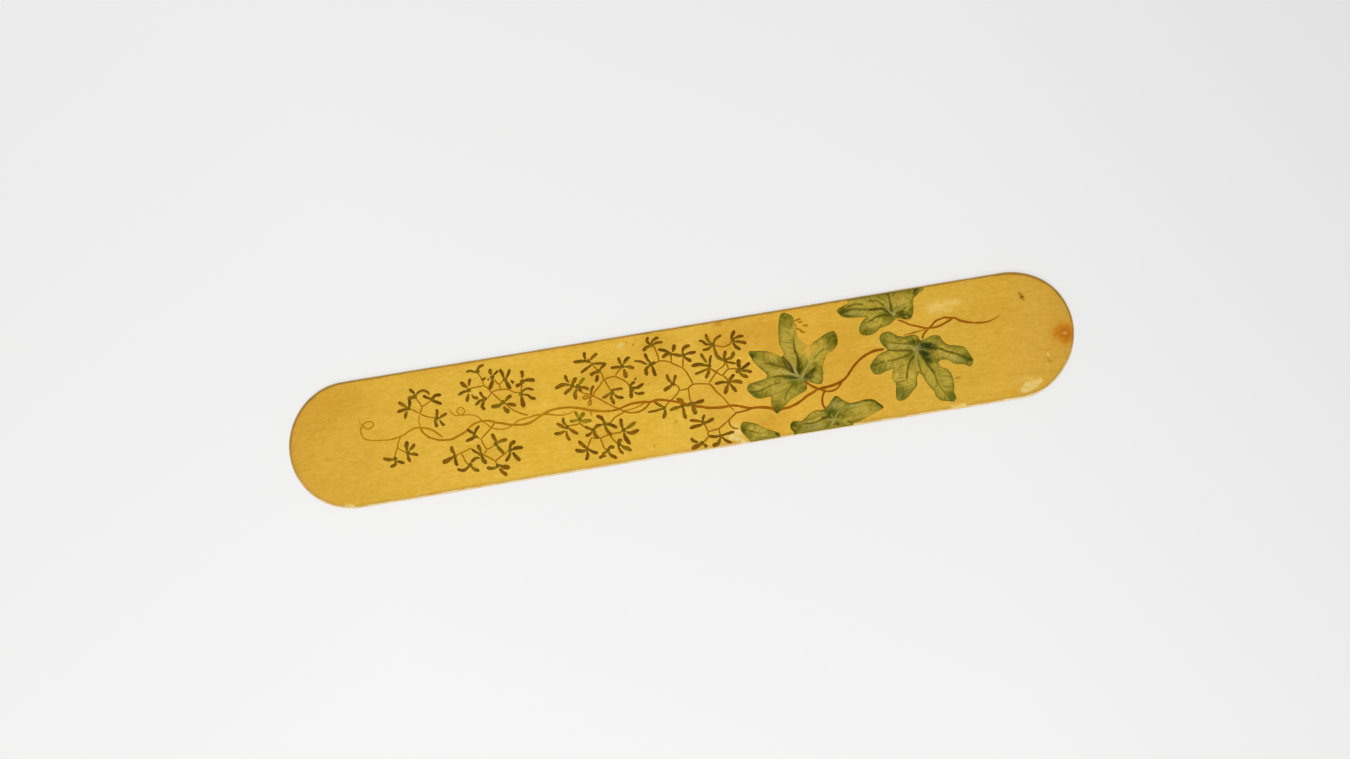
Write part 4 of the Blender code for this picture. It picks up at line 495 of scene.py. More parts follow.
# Soft touches of colour: x, y, two radii, direction in degrees, pigment, strength. "wood" lets the wood show.
TOUCHES = {
    "star": [
        (60.5, -5.5, 1.9, 2.6, 10, "straw", 0.60), (63.9, -6.4, 1.0, 2.4, -8, "straw", 0.45), (68.2, -7.0, 1.1, 4.6, 14, "straw", 0.55), (76.0, -3.6, 2.6, 0.8, -24, "pale", 0.50),
        (73.0, -1.6, 1.8, 0.7, -24, "straw", 0.45), (71.6, 2.3, 1.5, 0.8, 0, "olive", 0.45), (73.0, -8.0, 1.2, 2.6, 10, "straw", 0.40), (59.5, -2.6, 2.6, 0.9, 5, "straw", 0.35),
        (60.8, 2.3, 3.2, 0.6, -10, "pale", 0.40), (62.0, 0.0, 2.6, 0.5, -5, "olive", 0.40), (63.5, 3.9, 2.6, 0.6, -12, "olive", 0.45), (58.3, -6.2, 0.9, 1.1, 0, "wood", 0.55),
        (72.2, -5.4, 1.0, 0.9, -40, "wood", 0.45), (64.0, -3.9, 0.8, 1.3, -20, "olive", 0.5), (70.0, -2.6, 1.5, 1.1, -30, "moss", 0.55),
        (69.3, 1.1, 3.0, 1.25, -20, "green", 0.90), (69.0, 1.1, 2.5, 1.00, -20, "deep", 1.00), (68.2, -1.5, 2.9, 1.15, -66, "green", 0.90), (68.1, -1.3, 2.4, 0.85, -66, "deep", 1.00), (67.2, -0.1, 0.9, 0.8, 0, "deep", 0.90), (69.4, -0.9, 1.2, 0.8, 0, "deep", 0.70), (65.9, 2.6, 2.2, 0.95, 4, "green", 0.70), (66.1, 2.7, 1.8, 0.75, 4, "dark", 0.95), (64.2, 2.5, 1.5, 0.5, -8, "green", 0.7),
        (54.8, -2.9, 1.8, 1.0, 5, "green", 0.50), (79.4, -4.1, 2.1, 1.0, -42, "green", 0.85), (80.4, -4.6, 0.8, 0.7, 0, "dark", 0.8), (60.1, -11.0, 1.8, 1.6, 20, "green", 0.85),
        (73.6, -13.9, 1.7, 1.5, -50, "green", 0.80), (57.4, 4.1, 1.1, 1.3, 10, "green", 0.55), (57.5, 2.8, 0.8, 0.7, 0, "dark", 0.5), (63.5, -1.1, 1.9, 0.7, 12, "green", 0.65), (66.4, 0.5, 1.1, 1.1, 0, "grey", 0.60),
    ],
    "middle": [
        (30.6, 8.0, 1.3, 4.2, 0, "straw", 0.65), (22.6, 4.3, 1.8, 1.6, -40, "straw", 0.45), (26.2, 4.5, 2.6, 1.0, -14, "straw", 0.45), (26.0, 1.4, 2.6, 0.8, -20, "straw", 0.45), (21.3, -2.5, 2.6, 0.7, 4, "straw", 0.40),
        (27.3, -3.8, 2.6, 1.3, 0, "straw", 0.45), (30.2, -6.7, 2.0, 1.4, 35, "straw", 0.50), (37.6, -2.6, 1.4, 1.3, 0, "straw", 0.40), (36.2, 2.2, 0.9, 1.6, -25, "straw", 0.6), (38.6, 3.6, 2.4, 1.3, 35, "straw", 0.5), (38.8, -0.4, 1.1, 1.6, 0, "olive", 0.4),
        (35.4, 10.2, 1.9, 4.6, 4, "wood", 0.95), (36.6, 5.4, 2.0, 1.8, 0, "wood", 0.75), (39.4, 6.3, 1.8, 1.1, 25, "wood", 0.45), (41.6, 3.5, 1.8, 0.9, 30, "wood", 0.60), (26.5, 5.8, 2.8, 0.8, -12, "wood", 0.55),
        (31.0, -8.0, 2.4, 0.9, 30, "wood", 0.40), (21.0, 0.2, 2.0, 0.9, 20, "wood", 0.2), (39.9, 1.4, 0.9, 1.3, -10, "wood", 0.45), (33.9, 12.6, 0.8, 1.6, 0, "wood", 0.35),
        (31.5, 15.4, 1.5, 1.5, 0, "moss", 0.75), (32.4, 13.4, 1.1, 1.3, 0, "olive", 0.4), (21.5, 6.2, 1.5, 0.9, -20, "green", 0.70), (20.7, 6.2, 0.6, 0.8, 0, "dark", 0.9), (23.5, 5.2, 1.8, 1.0, -30, "olive", 0.4),
        (29.6, 2.4, 3.0, 0.95, -44, "dark", 0.85), (31.0, 0.5, 1.3, 0.55, -55, "deep", 0.75), (33.4, 1.3, 1.05, 2.2, -8, "dark", 0.95), (33.0, 0.0, 0.7, 1.2, 0, "deep", 0.5),
        (35.5, -1.9, 1.5, 1.0, 0, "deep", 0.95), (36.9, -0.6, 1.1, 0.6, 30, "dark", 0.85), (37.6, 0.9, 0.7, 0.9, 0, "moss", 0.5), (30.0, -1.4, 2.5, 0.65, -14, "green", 0.95), (27.0, -0.6, 2.0, 0.5, 0, "moss", 0.6), (26.4, 2.7, 2.2, 0.9, -18, "olive", 0.7),
        (31.8, -3.4, 2.1, 0.9, 8, "moss", 0.75), (33.7, -4.9, 1.0, 0.9, 0, "moss", 0.85), (20.3, -4.7, 1.5, 0.85, -24, "green", 0.90), (22.5, -4.9, 1.5, 0.7, 0, "olive", 0.6), (25.2, -9.5, 1.1, 1.3, 0, "dark", 1.00), (25.4, -8.3, 1.8, 1.6, 0, "olive", 0.55),
        (43.2, 6.8, 1.8, 2.0, -20, "moss", 0.85), (44.3, 6.9, 0.7, 1.5, 0, "dark", 0.65), (42.4, 4.8, 1.4, 0.7, 30, "olive", 0.6), (33.2, -2.2, 0.9, 0.8, 0, "grey", 0.75),
    ],
    "top": [
        (51.5, 13.5, 2.2, 0.7, -4, "pale", 0.45), (48.6, 13.4, 0.9, 0.4, 0, "pale", 0.6), (55.2, 9.3, 2.4, 1.0, 14, "straw", 0.65), (64.0, 14.8, 2.2, 1.5, 20, "straw", 0.65), (55.5, 14.6, 2.6, 0.6, -4, "straw", 0.3), (63.6, 15.9, 2.8, 1.2, 0, "brown", 0.40), (64.4, 14.6, 1.8, 1.0, 20, "straw", 0.45), (62.3, 16.3, 1.6, 0.8, 0, "straw", 0.35),
        (58.0, 16.3, 3.0, 0.9, 0, "olive", 0.60), (54.0, 12.3, 1.5, 0.7, 0, "straw", 0.4), (57.3, 12.2, 1.8, 0.5, 0, "olive", 0.5), (52.2, 9.8, 0.6, 0.5, 0, "pale", 0.6), (49.6, 16.2, 1.4, 0.6, 20, "wood", 0.55),
        (47.6, 14.2, 2.0, 0.85, 4, "dark", 0.85), (48.8, 12.8, 1.8, 0.5, -22, "dark", 0.7), (52.9, 7.6, 1.9, 1.15, 10, "moss", 0.90), (58.6, 11.5, 2.4, 0.6, 3, "moss", 0.6), (59.5, 10.2, 2.0, 0.8, 10, "olive", 0.75), (61.0, 9.4, 2.2, 0.7, 20, "olive", 0.7),
        (63.9, 10.8, 2.3, 0.95, -4, "dark", 0.95), (65.3, 9.7, 1.6, 0.7, 10, "dark", 0.75), (61.0, 13.4, 0.6, 1.5, 0, "moss", 0.75), (66.5, 12.2, 0.9, 2.0, 0, "moss", 0.45), (68.4, 16.3, 1.3, 1.0, 30, "dark", 0.95), (66.5, 16.6, 1.3, 0.6, 0, "olive", 0.7),
        (60.5, 11.0, 1.4, 0.8, 0, "moss", 0.7), (61.4, 11.2, 0.6, 0.5, 0, "pale", 0.85),
    ],
    "bottom": [
        (48.0, -13.4, 4.2, 1.6, 0, "straw", 0.60), (34.5, -12.6, 1.8, 0.8, 14, "straw", 0.6), (33.5, -16.0, 3.0, 0.7, 0, "grey", 0.45), (36.0, -15.9, 2.2, 0.6, 0, "pale", 0.4), (51.0, -15.3, 2.4, 0.8, 16, "wood", 0.65), (48.2, -15.4, 2.4, 0.6, 10, "straw", 0.5), (45.8, -12.0, 1.8, 0.8, 0, "pale", 0.35),
        (41.2, -11.4, 1.9, 1.7, 0, "grey", 0.55), (40.0, -13.2, 2.3, 1.4, 10, "green", 1.00), (39.4, -12.4, 1.3, 0.8, 0, "dark", 0.55), (37.6, -13.9, 0.8, 0.4, 0, "dark", 0.95), (43.0, -13.6, 2.6, 1.6, 0, "moss", 0.60), (28.8, -14.6, 0.8, 1.0, 0, "dark", 0.95),
        (30.2, -15.3, 1.6, 1.0, -20, "moss", 0.75), (52.0, -12.7, 1.7, 0.6, -14, "olive", 0.65), (44.4, -16.1, 0.8, 0.4, 0, "dark", 0.75), (40.7, -16.2, 1.1, 0.55, 0, "dark", 0.85), (47.0, -16.0, 2.4, 0.5, 4, "brown", 0.5), (42.2, -9.4, 1.0, 0.6, 0, "olive", 0.5), (36.2, -13.2, 1.6, 0.5, 10, "olive", 0.5),
    ],
    "small": [
        (19.2, -14.3, 2.6, 1.6, -20, "straw", 0.65), (20.0, -15.9, 2.2, 0.7, -10, "straw", 0.4), (21.0, -14.9, 2.4, 1.3, -18, "straw", 0.45), (17.8, -13.6, 1.4, 0.8, -24, "straw", 0.40), (15.4, -12.9, 1.1, 1.3, 0, "moss", 0.65), (15.0, -14.0, 0.8, 1.0, 20, "dark", 0.78), (16.7, -15.3, 1.5, 0.9, -30, "moss", 0.60), (17.6, -12.3, 1.6, 0.5, -10, "olive", 0.5),
        (24.0, -16.3, 1.0, 0.5, -10, "dark", 1.00), (22.6, -15.8, 1.3, 0.5, -14, "olive", 0.75), (20.8, -13.5, 0.6, 0.4, 0, "moss", 0.5), (21.8, -15.1, 0.8, 0.4, 0, "moss", 0.5), (21.5, -13.4, 1.8, 0.4, -30, "wood", 0.5),
    ],
}
# Brushed marks: points, half-width at the start and at the end, pigment, strength.
MARKS = {
    "star": [
        ([(64.6, 0.5), (62.5, 0.8), (60.3, 1.15), (58.2, 1.6)], 0.34, 0.18, "dark", 0.90), ([(64.8, 0.0), (62.0, -0.9), (60.0, -1.25), (57.8, -1.4)], 0.34, 0.22, "dark", 0.75), ([(56.6, -1.4), (54.6, -1.7), (52.9, -2.2)], 0.25, 0.25, "dark", 0.65),
        ([(65.0, -1.4), (63.9, -2.2), (63.0, -3.9), (62.5, -5.3), (62.1, -6.8)], 0.36, 0.22, "dark", 0.92), ([(62.1, -6.8), (61.9, -8.3)], 0.25, 0.15, "moss", 0.5), ([(66.0, -2.6), (66.1, -4.2), (66.4, -5.9), (66.6, -6.6)], 0.26, 0.16, "dark", 0.75),
        ([(67.0, -0.4), (67.9, -2.8), (68.8, -4.8), (69.8, -6.6)], 0.40, 0.24, "dark", 0.92), ([(69.8, -6.6), (70.3, -9.5), (71.4, -11.8), (73.0, -14.2)], 0.22, 0.26, "moss", 0.75), ([(69.4, 0.1), (71.2, 0.0), (72.6, -0.4), (74.2, -1.3), (75.6, -2.0)], 0.30, 0.28, "dark", 0.92),
        ([(75.6, -2.0), (77.4, -2.8), (79.0, -4.0), (80.2, -4.9)], 0.28, 0.30, "dark", 0.80), ([(63.2, 2.5), (61.0, 3.1), (58.8, 3.9), (57.2, 4.4)], 0.22, 0.16, "moss", 0.65), ([(64.6, 2.9), (61.8, 2.9), (59.2, 3.4), (57.2, 3.5)], 0.16, 0.14, "dark", 0.4),
        ([(60.9, -2.2), (61.7, -1.9)], 0.2, 0.14, "moss", 0.55), ([(60.5, -2.9), (61.9, -2.5)], 0.2, 0.14, "moss", 0.65), ([(60.3, -3.6), (61.7, -3.2)], 0.2, 0.14, "dark", 0.45), ([(60.2, -4.4), (61.5, -4.2)], 0.2, 0.14, "moss", 0.65), ([(60.2, -5.2), (61.4, -5.1)], 0.2, 0.16, "dark", 0.55),
        ([(60.0, -5.9), (61.2, -5.8)], 0.18, 0.12, "moss", 0.6), ([(60.0, -6.6), (61.2, -6.5)], 0.2, 0.14, "dark", 0.55), ([(59.4, -7.6), (61.4, -7.5)], 0.2, 0.14, "moss", 0.7), ([(59.8, -8.6), (61.0, -8.3)], 0.2, 0.14, "moss", 0.4),
        ([(64.9, -4.6), (64.2, -4.9)], 0.2, 0.12, "dark", 0.4), ([(65.0, -5.4), (64.2, -5.9)], 0.18, 0.12, "dark", 0.35), ([(63.0, -7.3), (64.6, -7.9)], 0.16, 0.10, "moss", 0.4), ([(63.0, -8.9), (64.4, -9.5)], 0.18, 0.12, "moss", 0.5), ([(61.8, -9.0), (60.2, -9.8)], 0.18, 0.12, "green", 0.5),
        ([(68.2, -5.9), (67.3, -6.9)], 0.16, 0.1, "olive", 0.6), ([(69.3, -8.5), (68.0, -9.9)], 0.18, 0.1, "moss", 0.5), ([(69.8, -10.2), (68.8, -11.4)], 0.18, 0.1, "moss", 0.45), ([(70.8, -7.2), (72.6, -6.6)], 0.18, 0.1, "olive", 0.6), ([(71.2, -9.0), (73.2, -9.2)], 0.18, 0.1, "moss", 0.45), ([(71.6, -10.6), (73.6, -11.4)], 0.2, 0.1, "moss", 0.5), ([(72.4, -12.2), (73.8, -12.9)], 0.22, 0.12, "green", 0.5),
        ([(76.4, -2.6), (77.6, -1.6)], 0.18, 0.1, "olive", 0.6), ([(74.8, -2.4), (74.0, -3.2)], 0.18, 0.1, "moss", 0.45), ([(77.0, -3.4), (76.4, -4.6)], 0.18, 0.1, "moss", 0.5), ([(59.0, -1.6), (58.0, -3.0)], 0.18, 0.1, "moss", 0.5), ([(57.2, -1.8), (56.2, -3.6)], 0.2, 0.12, "moss", 0.55), ([(60.4, -1.5), (59.8, -3.0)], 0.16, 0.1, "moss", 0.4), ([(56.0, -1.2), (54.6, -0.2)], 0.18, 0.1, "moss", 0.4), ([(59.6, -0.9), (58.4, 0.3)], 0.16, 0.1, "moss", 0.4),
        ([(65.7, 0.4), (64.4, 1.7), (63.0, 2.0)], 0.22, 0.12, "pale", 0.75), ([(66.2, 0.6), (67.1, 1.9)], 0.20, 0.12, "grey", 0.8), ([(65.9, -0.2), (65.5, -1.6), (65.6, -3.2)], 0.22, 0.14, "pale", 0.70), ([(67.0, 0.5), (68.4, 0.0), (69.4, -0.6)], 0.14, 0.1, "grey", 0.6), ([(68.6, 2.2), (68.7, 2.9)], 0.2, 0.2, "grey", 0.6),
    ],
    "middle": [
        ([(32.8, -0.6), (33.1, 1.8), (33.2, 3.9), (32.8, 5.4)], 0.42, 0.36, "dark", 0.95), ([(32.8, 5.4), (32.8, 7.4), (32.9, 9.3)], 0.32, 0.12, "dark", 0.85), ([(31.4, -0.1), (30.9, 1.6), (30.1, 3.2), (29.2, 4.4)], 0.38, 0.22, "dark", 0.95), ([(31.3, 0.0), (29.5, 1.3), (27.6, 2.3), (25.6, 3.2), (23.9, 3.6)], 0.34, 0.18, "dark", 0.75),
        ([(32.2, -1.9), (30.2, -1.2), (28.2, -0.7), (26.0, -0.4)], 0.40, 0.18, "dark", 0.75), ([(27.6, -2.3), (25.8, -2.5), (24.0, -2.9), (22.0, -3.6), (20.2, -3.8), (18.7, -3.5)], 0.14, 0.26, "dark", 0.80), ([(31.4, -3.0), (29.8, -4.2), (28.6, -5.7), (27.8, -7.2)], 0.34, 0.16, "moss", 0.90), ([(37.6, 2.6), (39.2, 3.9), (40.8, 4.9)], 0.16, 0.2, "moss", 0.85),
        ([(35.0, 0.9), (35.7, 2.4)], 0.3, 0.12, "dark", 0.8), ([(34.2, -2.0), (36.2, -0.8), (37.7, 0.4)], 0.34, 0.16, "dark", 0.8), ([(24.6, -2.6), (24.3, -4.2)], 0.16, 0.1, "moss", 0.7), ([(25.4, -2.4), (25.4, -3.8)], 0.14, 0.1, "pale", 0.6),
        ([(32.4, 10.2), (31.0, 10.9)], 0.16, 0.1, "olive", 0.5), ([(32.3, 8.6), (30.6, 9.2)], 0.16, 0.1, "olive", 0.5), ([(32.3, 6.6), (30.4, 6.9)], 0.18, 0.1, "moss", 0.4), ([(32.4, 4.9), (30.8, 5.2)], 0.18, 0.1, "moss", 0.4), ([(32.4, 12.0), (31.0, 12.8)], 0.18, 0.1, "moss", 0.45),
        ([(28.6, 2.6), (27.4, 4.4)], 0.2, 0.1, "moss", 0.6), ([(27.4, 3.0), (26.0, 4.6)], 0.18, 0.1, "moss", 0.5), ([(26.0, 3.3), (24.4, 4.8)], 0.18, 0.1, "moss", 0.5), ([(24.8, 3.7), (23.2, 5.0)], 0.18, 0.1, "olive", 0.6), ([(28.0, 1.7), (26.4, 1.6)], 0.2, 0.1, "moss", 0.55), ([(26.4, 2.5), (24.6, 2.0)], 0.18, 0.1, "moss", 0.45), ([(24.6, 3.1), (23.2, 2.6)], 0.18, 0.1, "olive", 0.55),
        ([(29.0, -0.5), (27.8, 0.4)], 0.18, 0.1, "moss", 0.5), ([(26.4, -0.8), (24.6, -0.3)], 0.18, 0.1, "olive", 0.6), ([(23.2, -2.6), (21.6, -1.6)], 0.18, 0.1, "olive", 0.5), ([(21.8, -4.1), (22.6, -5.4)], 0.18, 0.1, "moss", 0.5), ([(27.4, -1.4), (25.6, -1.7)], 0.18, 0.1, "olive", 0.6), ([(29.0, -4.2), (27.0, -4.6)], 0.18, 0.1, "olive", 0.6), ([(28.4, -5.4), (26.4, -6.2)], 0.18, 0.1, "olive", 0.55), ([(29.6, -5.6), (31.0, -6.6)], 0.18, 0.1, "moss", 0.45), ([(30.6, -4.6), (32.2, -5.6)], 0.2, 0.1, "moss", 0.5),
        ([(36.6, -2.6), (38.4, -3.4)], 0.2, 0.1, "moss", 0.55), ([(37.4, -1.4), (39.2, -1.8)], 0.18, 0.1, "moss", 0.45), ([(38.2, 3.1), (37.2, 4.2)], 0.16, 0.1, "olive", 0.5), ([(39.6, 3.2), (41.2, 3.4)], 0.18, 0.1, "moss", 0.5), ([(39.4, 2.3), (41.6, 2.0)], 0.18, 0.1, "moss", 0.45), ([(37.2, 1.6), (38.4, 1.2)], 0.2, 0.1, "moss", 0.6), ([(38.0, 0.9), (38.6, 0.2)], 0.2, 0.1, "dark", 0.4),
        ([(32.5, -1.3), (31.9, 0.3), (31.5, 1.9), (31.4, 3.2)], 0.30, 0.14, "pale", 0.90), ([(33.5, -1.8), (34.4, -0.5), (35.2, 0.6), (35.6, 1.4)], 0.26, 0.12, "pale", 0.95), ([(32.0, -1.2), (30.0, -0.1), (28.4, 0.4), (26.8, 0.6)], 0.24, 0.14, "pale", 0.90), ([(32.8, -2.3), (31.0, -2.2), (29.4, -2.1)], 0.2, 0.12, "grey", 0.75), ([(36.3, 2.2), (36.0, 0.9)], 0.3, 0.14, "pale", 0.6), ([(33.4, -2.6), (34.6, -3.4)], 0.22, 0.14, "grey", 0.7),
    ],
    "top": [
        ([(60.0, 12.0), (59.0, 13.0), (57.4, 13.3), (55.3, 13.5)], 0.36, 0.34, "dark", 1.00), ([(55.3, 13.5), (53.4, 13.8), (51.4, 14.3), (49.0, 14.4)], 0.32, 0.2, "dark", 0.80), ([(60.6, 11.1), (58.6, 11.3), (56.8, 11.3), (55.3, 10.7), (54.2, 10.2)], 0.34, 0.22, "dark", 0.90), ([(61.0, 12.0), (61.0, 13.6), (60.9, 15.0), (60.8, 16.8)], 0.34, 0.24, "dark", 0.80),
        ([(59.9, 12.7), (59.1, 13.9), (58.0, 15.1), (56.9, 15.7), (55.2, 15.9)], 0.22, 0.26, "dark", 0.75), ([(62.2, 12.5), (63.6, 13.0), (65.2, 13.6)], 0.16, 0.14, "moss", 0.8), ([(62.2, 11.4), (64.0, 11.8), (65.3, 12.7)], 0.26, 0.14, "dark", 0.80), ([(49.0, 15.3), (51.2, 15.7), (53.2, 15.3)], 0.2, 0.26, "dark", 0.75), ([(62.2, 17.0), (62.2, 16.2)], 0.3, 0.3, "moss", 0.7),
        ([(54.4, 13.0), (55.4, 12.2)], 0.18, 0.14, "moss", 0.6), ([(53.6, 11.9), (53.2, 11.3)], 0.25, 0.2, "moss", 0.6), ([(52.6, 14.0), (52.0, 13.0)], 0.16, 0.1, "moss", 0.4), ([(56.4, 13.9), (55.6, 14.9)], 0.18, 0.1, "moss", 0.5), ([(54.2, 14.2), (53.4, 15.0)], 0.18, 0.1, "moss", 0.5), ([(57.4, 11.0), (56.6, 9.7)], 0.18, 0.1, "moss", 0.5), ([(55.6, 10.4), (54.8, 9.2)], 0.18, 0.1, "moss", 0.5), ([(58.8, 10.8), (58.4, 9.3)], 0.18, 0.1, "moss", 0.5),
        ([(62.6, 14.4), (61.6, 13.8)], 0.16, 0.1, "moss", 0.5), ([(63.4, 15.6), (62.0, 15.2)], 0.16, 0.1, "olive", 0.6), ([(65.4, 15.2), (66.8, 14.4)], 0.2, 0.12, "olive", 0.6), ([(59.2, 15.6), (60.2, 15.0)], 0.18, 0.1, "moss", 0.5), ([(52.4, 9.4), (52.2, 10.2)], 0.2, 0.1, "moss", 0.6),
        ([(60.9, 11.6), (59.9, 12.7), (59.2, 13.9)], 0.18, 0.14, "pale", 0.85), ([(61.6, 11.6), (62.8, 12.6), (64.6, 13.2)], 0.18, 0.10, "pale", 0.70), ([(61.3, 11.9), (61.4, 12.9)], 0.14, 0.1, "grey", 0.6),
    ],
    "bottom": [
        ([(40.8, -9.5), (41.6, -8.8), (42.4, -8.8), (43.4, -9.6), (44.6, -10.6)], 0.22, 0.18, "dark", 0.90), ([(31.8, -14.7), (34.4, -14.9), (36.8, -14.4), (38.8, -13.8)], 0.2, 0.26, "dark", 0.85), ([(46.4, -11.3), (49.6, -10.9), (52.2, -11.7), (53.5, -12.9), (54.3, -13.7)], 0.18, 0.34, "dark", 0.90), ([(28.5, -15.6), (29.3, -16.5)], 0.25, 0.3, "dark", 0.8),
        ([(42.2, -12.2), (44.0, -11.6), (46.0, -11.4)], 0.2, 0.14, "moss", 0.6), ([(43.0, -13.0), (46.0, -12.6), (49.0, -12.6)], 0.2, 0.12, "moss", 0.5), ([(43.0, -14.4), (46.0, -14.6), (49.0, -14.0)], 0.18, 0.12, "moss", 0.4), ([(40.2, -12.0), (40.4, -10.4)], 0.16, 0.1, "moss", 0.5), ([(41.4, -12.4), (41.9, -10.6)], 0.18, 0.1, "moss", 0.5), ([(39.0, -12.6), (37.0, -12.0)], 0.18, 0.1, "moss", 0.5), ([(38.4, -13.2), (35.4, -12.6)], 0.18, 0.1, "olive", 0.6),
        ([(38.6, -15.0), (35.0, -15.7), (31.6, -15.6)], 0.16, 0.12, "moss", 0.5), ([(39.3, -15.4), (38.0, -16.6)], 0.26, 0.2, "dark", 0.7), ([(49.6, -12.2), (51.4, -13.4)], 0.18, 0.1, "olive", 0.6), ([(46.8, -13.6), (48.4, -14.8)], 0.18, 0.1, "olive", 0.5),
        ([(39.4, -16.2), (40.3, -14.9), (41.4, -13.6), (42.6, -12.3)], 0.16, 0.10, "pale", 1.00), ([(40.2, -15.0), (38.4, -14.5)], 0.13, 0.1, "pale", 0.80), ([(40.0, -14.4), (39.9, -13.2)], 0.12, 0.1, "pale", 0.6), ([(40.6, -14.9), (42.2, -15.2)], 0.12, 0.1, "pale", 0.7), ([(41.6, -13.2), (43.6, -12.8)], 0.12, 0.1, "pale", 0.6),
    ],
    "small": [
        ([(16.4, -13.9), (18.2, -14.8), (20.2, -15.5)], 0.2, 0.12, "dark", 0.75), ([(18.4, -12.3), (20.4, -12.8), (22.4, -13.9), (23.8, -14.9)], 0.14, 0.14, "brown", 0.6), ([(18.0, -16.3), (21.0, -16.7), (23.0, -16.8)], 0.2, 0.14, "moss", 0.5), ([(17.6, -14.2), (18.6, -13.0)], 0.16, 0.1, "moss", 0.5), ([(19.2, -14.8), (20.4, -13.8)], 0.16, 0.1, "olive", 0.6), ([(18.8, -15.2), (19.6, -16.1)], 0.16, 0.1, "moss", 0.45), ([(20.8, -15.5), (22.0, -14.8)], 0.16, 0.1, "olive", 0.6),
    ],
}




# ---------------------------------------------------------------- materials
class Nodes:
    """A short way to write a node tree."""

    def __init__(self, name):
        self.material = bpy.data.materials.new(name)
        self.material.use_nodes = True
        self.tree = self.material.node_tree
        self.shader = self.tree.nodes["Principled BSDF"]
        self.place = self.new("ShaderNodeTexCoord").outputs["Object"]

    def new(self, kind, **settings):
        node = self.tree.nodes.new(kind)
        for key, value in settings.items():
            setattr(node, key, value)
        return node

    def link(self, out, into):
        self.tree.links.new(out, into)

    def attribute(self, name, colour=False):
        node = self.new("ShaderNodeAttribute", attribute_name=name)
        return node.outputs["Color" if colour else "Fac"]

    def grain(self, scale, detail=2.0, roughness=0.5, seed=0.0, distortion=0.0):
        """Noise with one size for each direction: scale is features per millimetre along x, y and z."""
        mapping = self.new("ShaderNodeMapping")
        mapping.inputs["Scale"].default_value = [s / MM for s in scale]
        mapping.inputs["Location"].default_value = (seed, seed * 0.7, seed * 0.3)
        self.link(self.place, mapping.inputs["Vector"])
        tex = self.new("ShaderNodeTexNoise")
        tex.inputs["Scale"].default_value = 1.0
        tex.inputs["Detail"].default_value = detail
        tex.inputs["Roughness"].default_value = roughness
        tex.inputs["Distortion"].default_value = distortion
        self.link(mapping.outputs["Vector"], tex.inputs["Vector"])
        return tex.outputs["Fac"]

    def ramp(self, value, stops):
        node = self.new("ShaderNodeValToRGB")
        elements = node.color_ramp.elements
        while len(elements) < len(stops):
            elements.new(0.5)
        for element, (at, colour) in zip(elements, stops):
            element.position = at
            element.color = (*colour, 1.0) if len(colour) == 3 else colour
        self.link(value, node.inputs["Fac"])
        return node.outputs["Color"]

    def maths(self, kind, a, b=None):
        node = self.new("ShaderNodeMath", operation=kind)
        for socket, value in zip(node.inputs, (a, b)):
            if value is None:
                continue
            if isinstance(value, (int, float)):
                socket.default_value = value
            else:
                self.link(value, socket)
        return node.outputs["Value"]

    def span(self, value, lo, hi, to_lo, to_hi):
        node = self.new("ShaderNodeMapRange")
        for key, v in (("From Min", lo), ("From Max", hi), ("To Min", to_lo), ("To Max", to_hi)):
            node.inputs[key].default_value = v
        self.link(value, node.inputs["Value"])
        return node.outputs["Result"]

    def bump(self, value, distance, strength=1.0, after=None):
        node = self.new("ShaderNodeBump")
        node.inputs["Distance"].default_value = distance * MM
        node.inputs["Strength"].default_value = strength
        self.link(value, node.inputs["Height"])
        if after is not None:
            self.link(after, node.inputs["Normal"])
        return node.outputs["Normal"]


def colour_mix(n, kind, factor, a, b):
    node = n.new("ShaderNodeMix", data_type="RGBA", blend_type=kind)
    fac = [s for s in node.inputs if s.type == "VALUE" and s.enabled][0]
    ca, cb = [s for s in node.inputs if s.type == "RGBA"]
    for socket, value in ((fac, factor), (ca, a), (cb, b)):
        if isinstance(value, (int, float)):
            socket.default_value = value
        elif isinstance(value, tuple):
            socket.default_value = (*value, 1.0)
        else:
            n.link(value, socket)
    return [s for s in node.outputs if s.type == "RGBA"][0]


def varnish(n):
    """Old amber varnish: a warm, weak sheen."""
    n.shader.inputs["Specular IOR Level"].default_value = 0.32
    n.shader.inputs["Specular Tint"].default_value = (1.0, 0.72, 0.12, 1.0)
    n.shader.inputs["Coat Weight"].default_value = 0.03
    n.shader.inputs["Coat Roughness"].default_value = 0.22


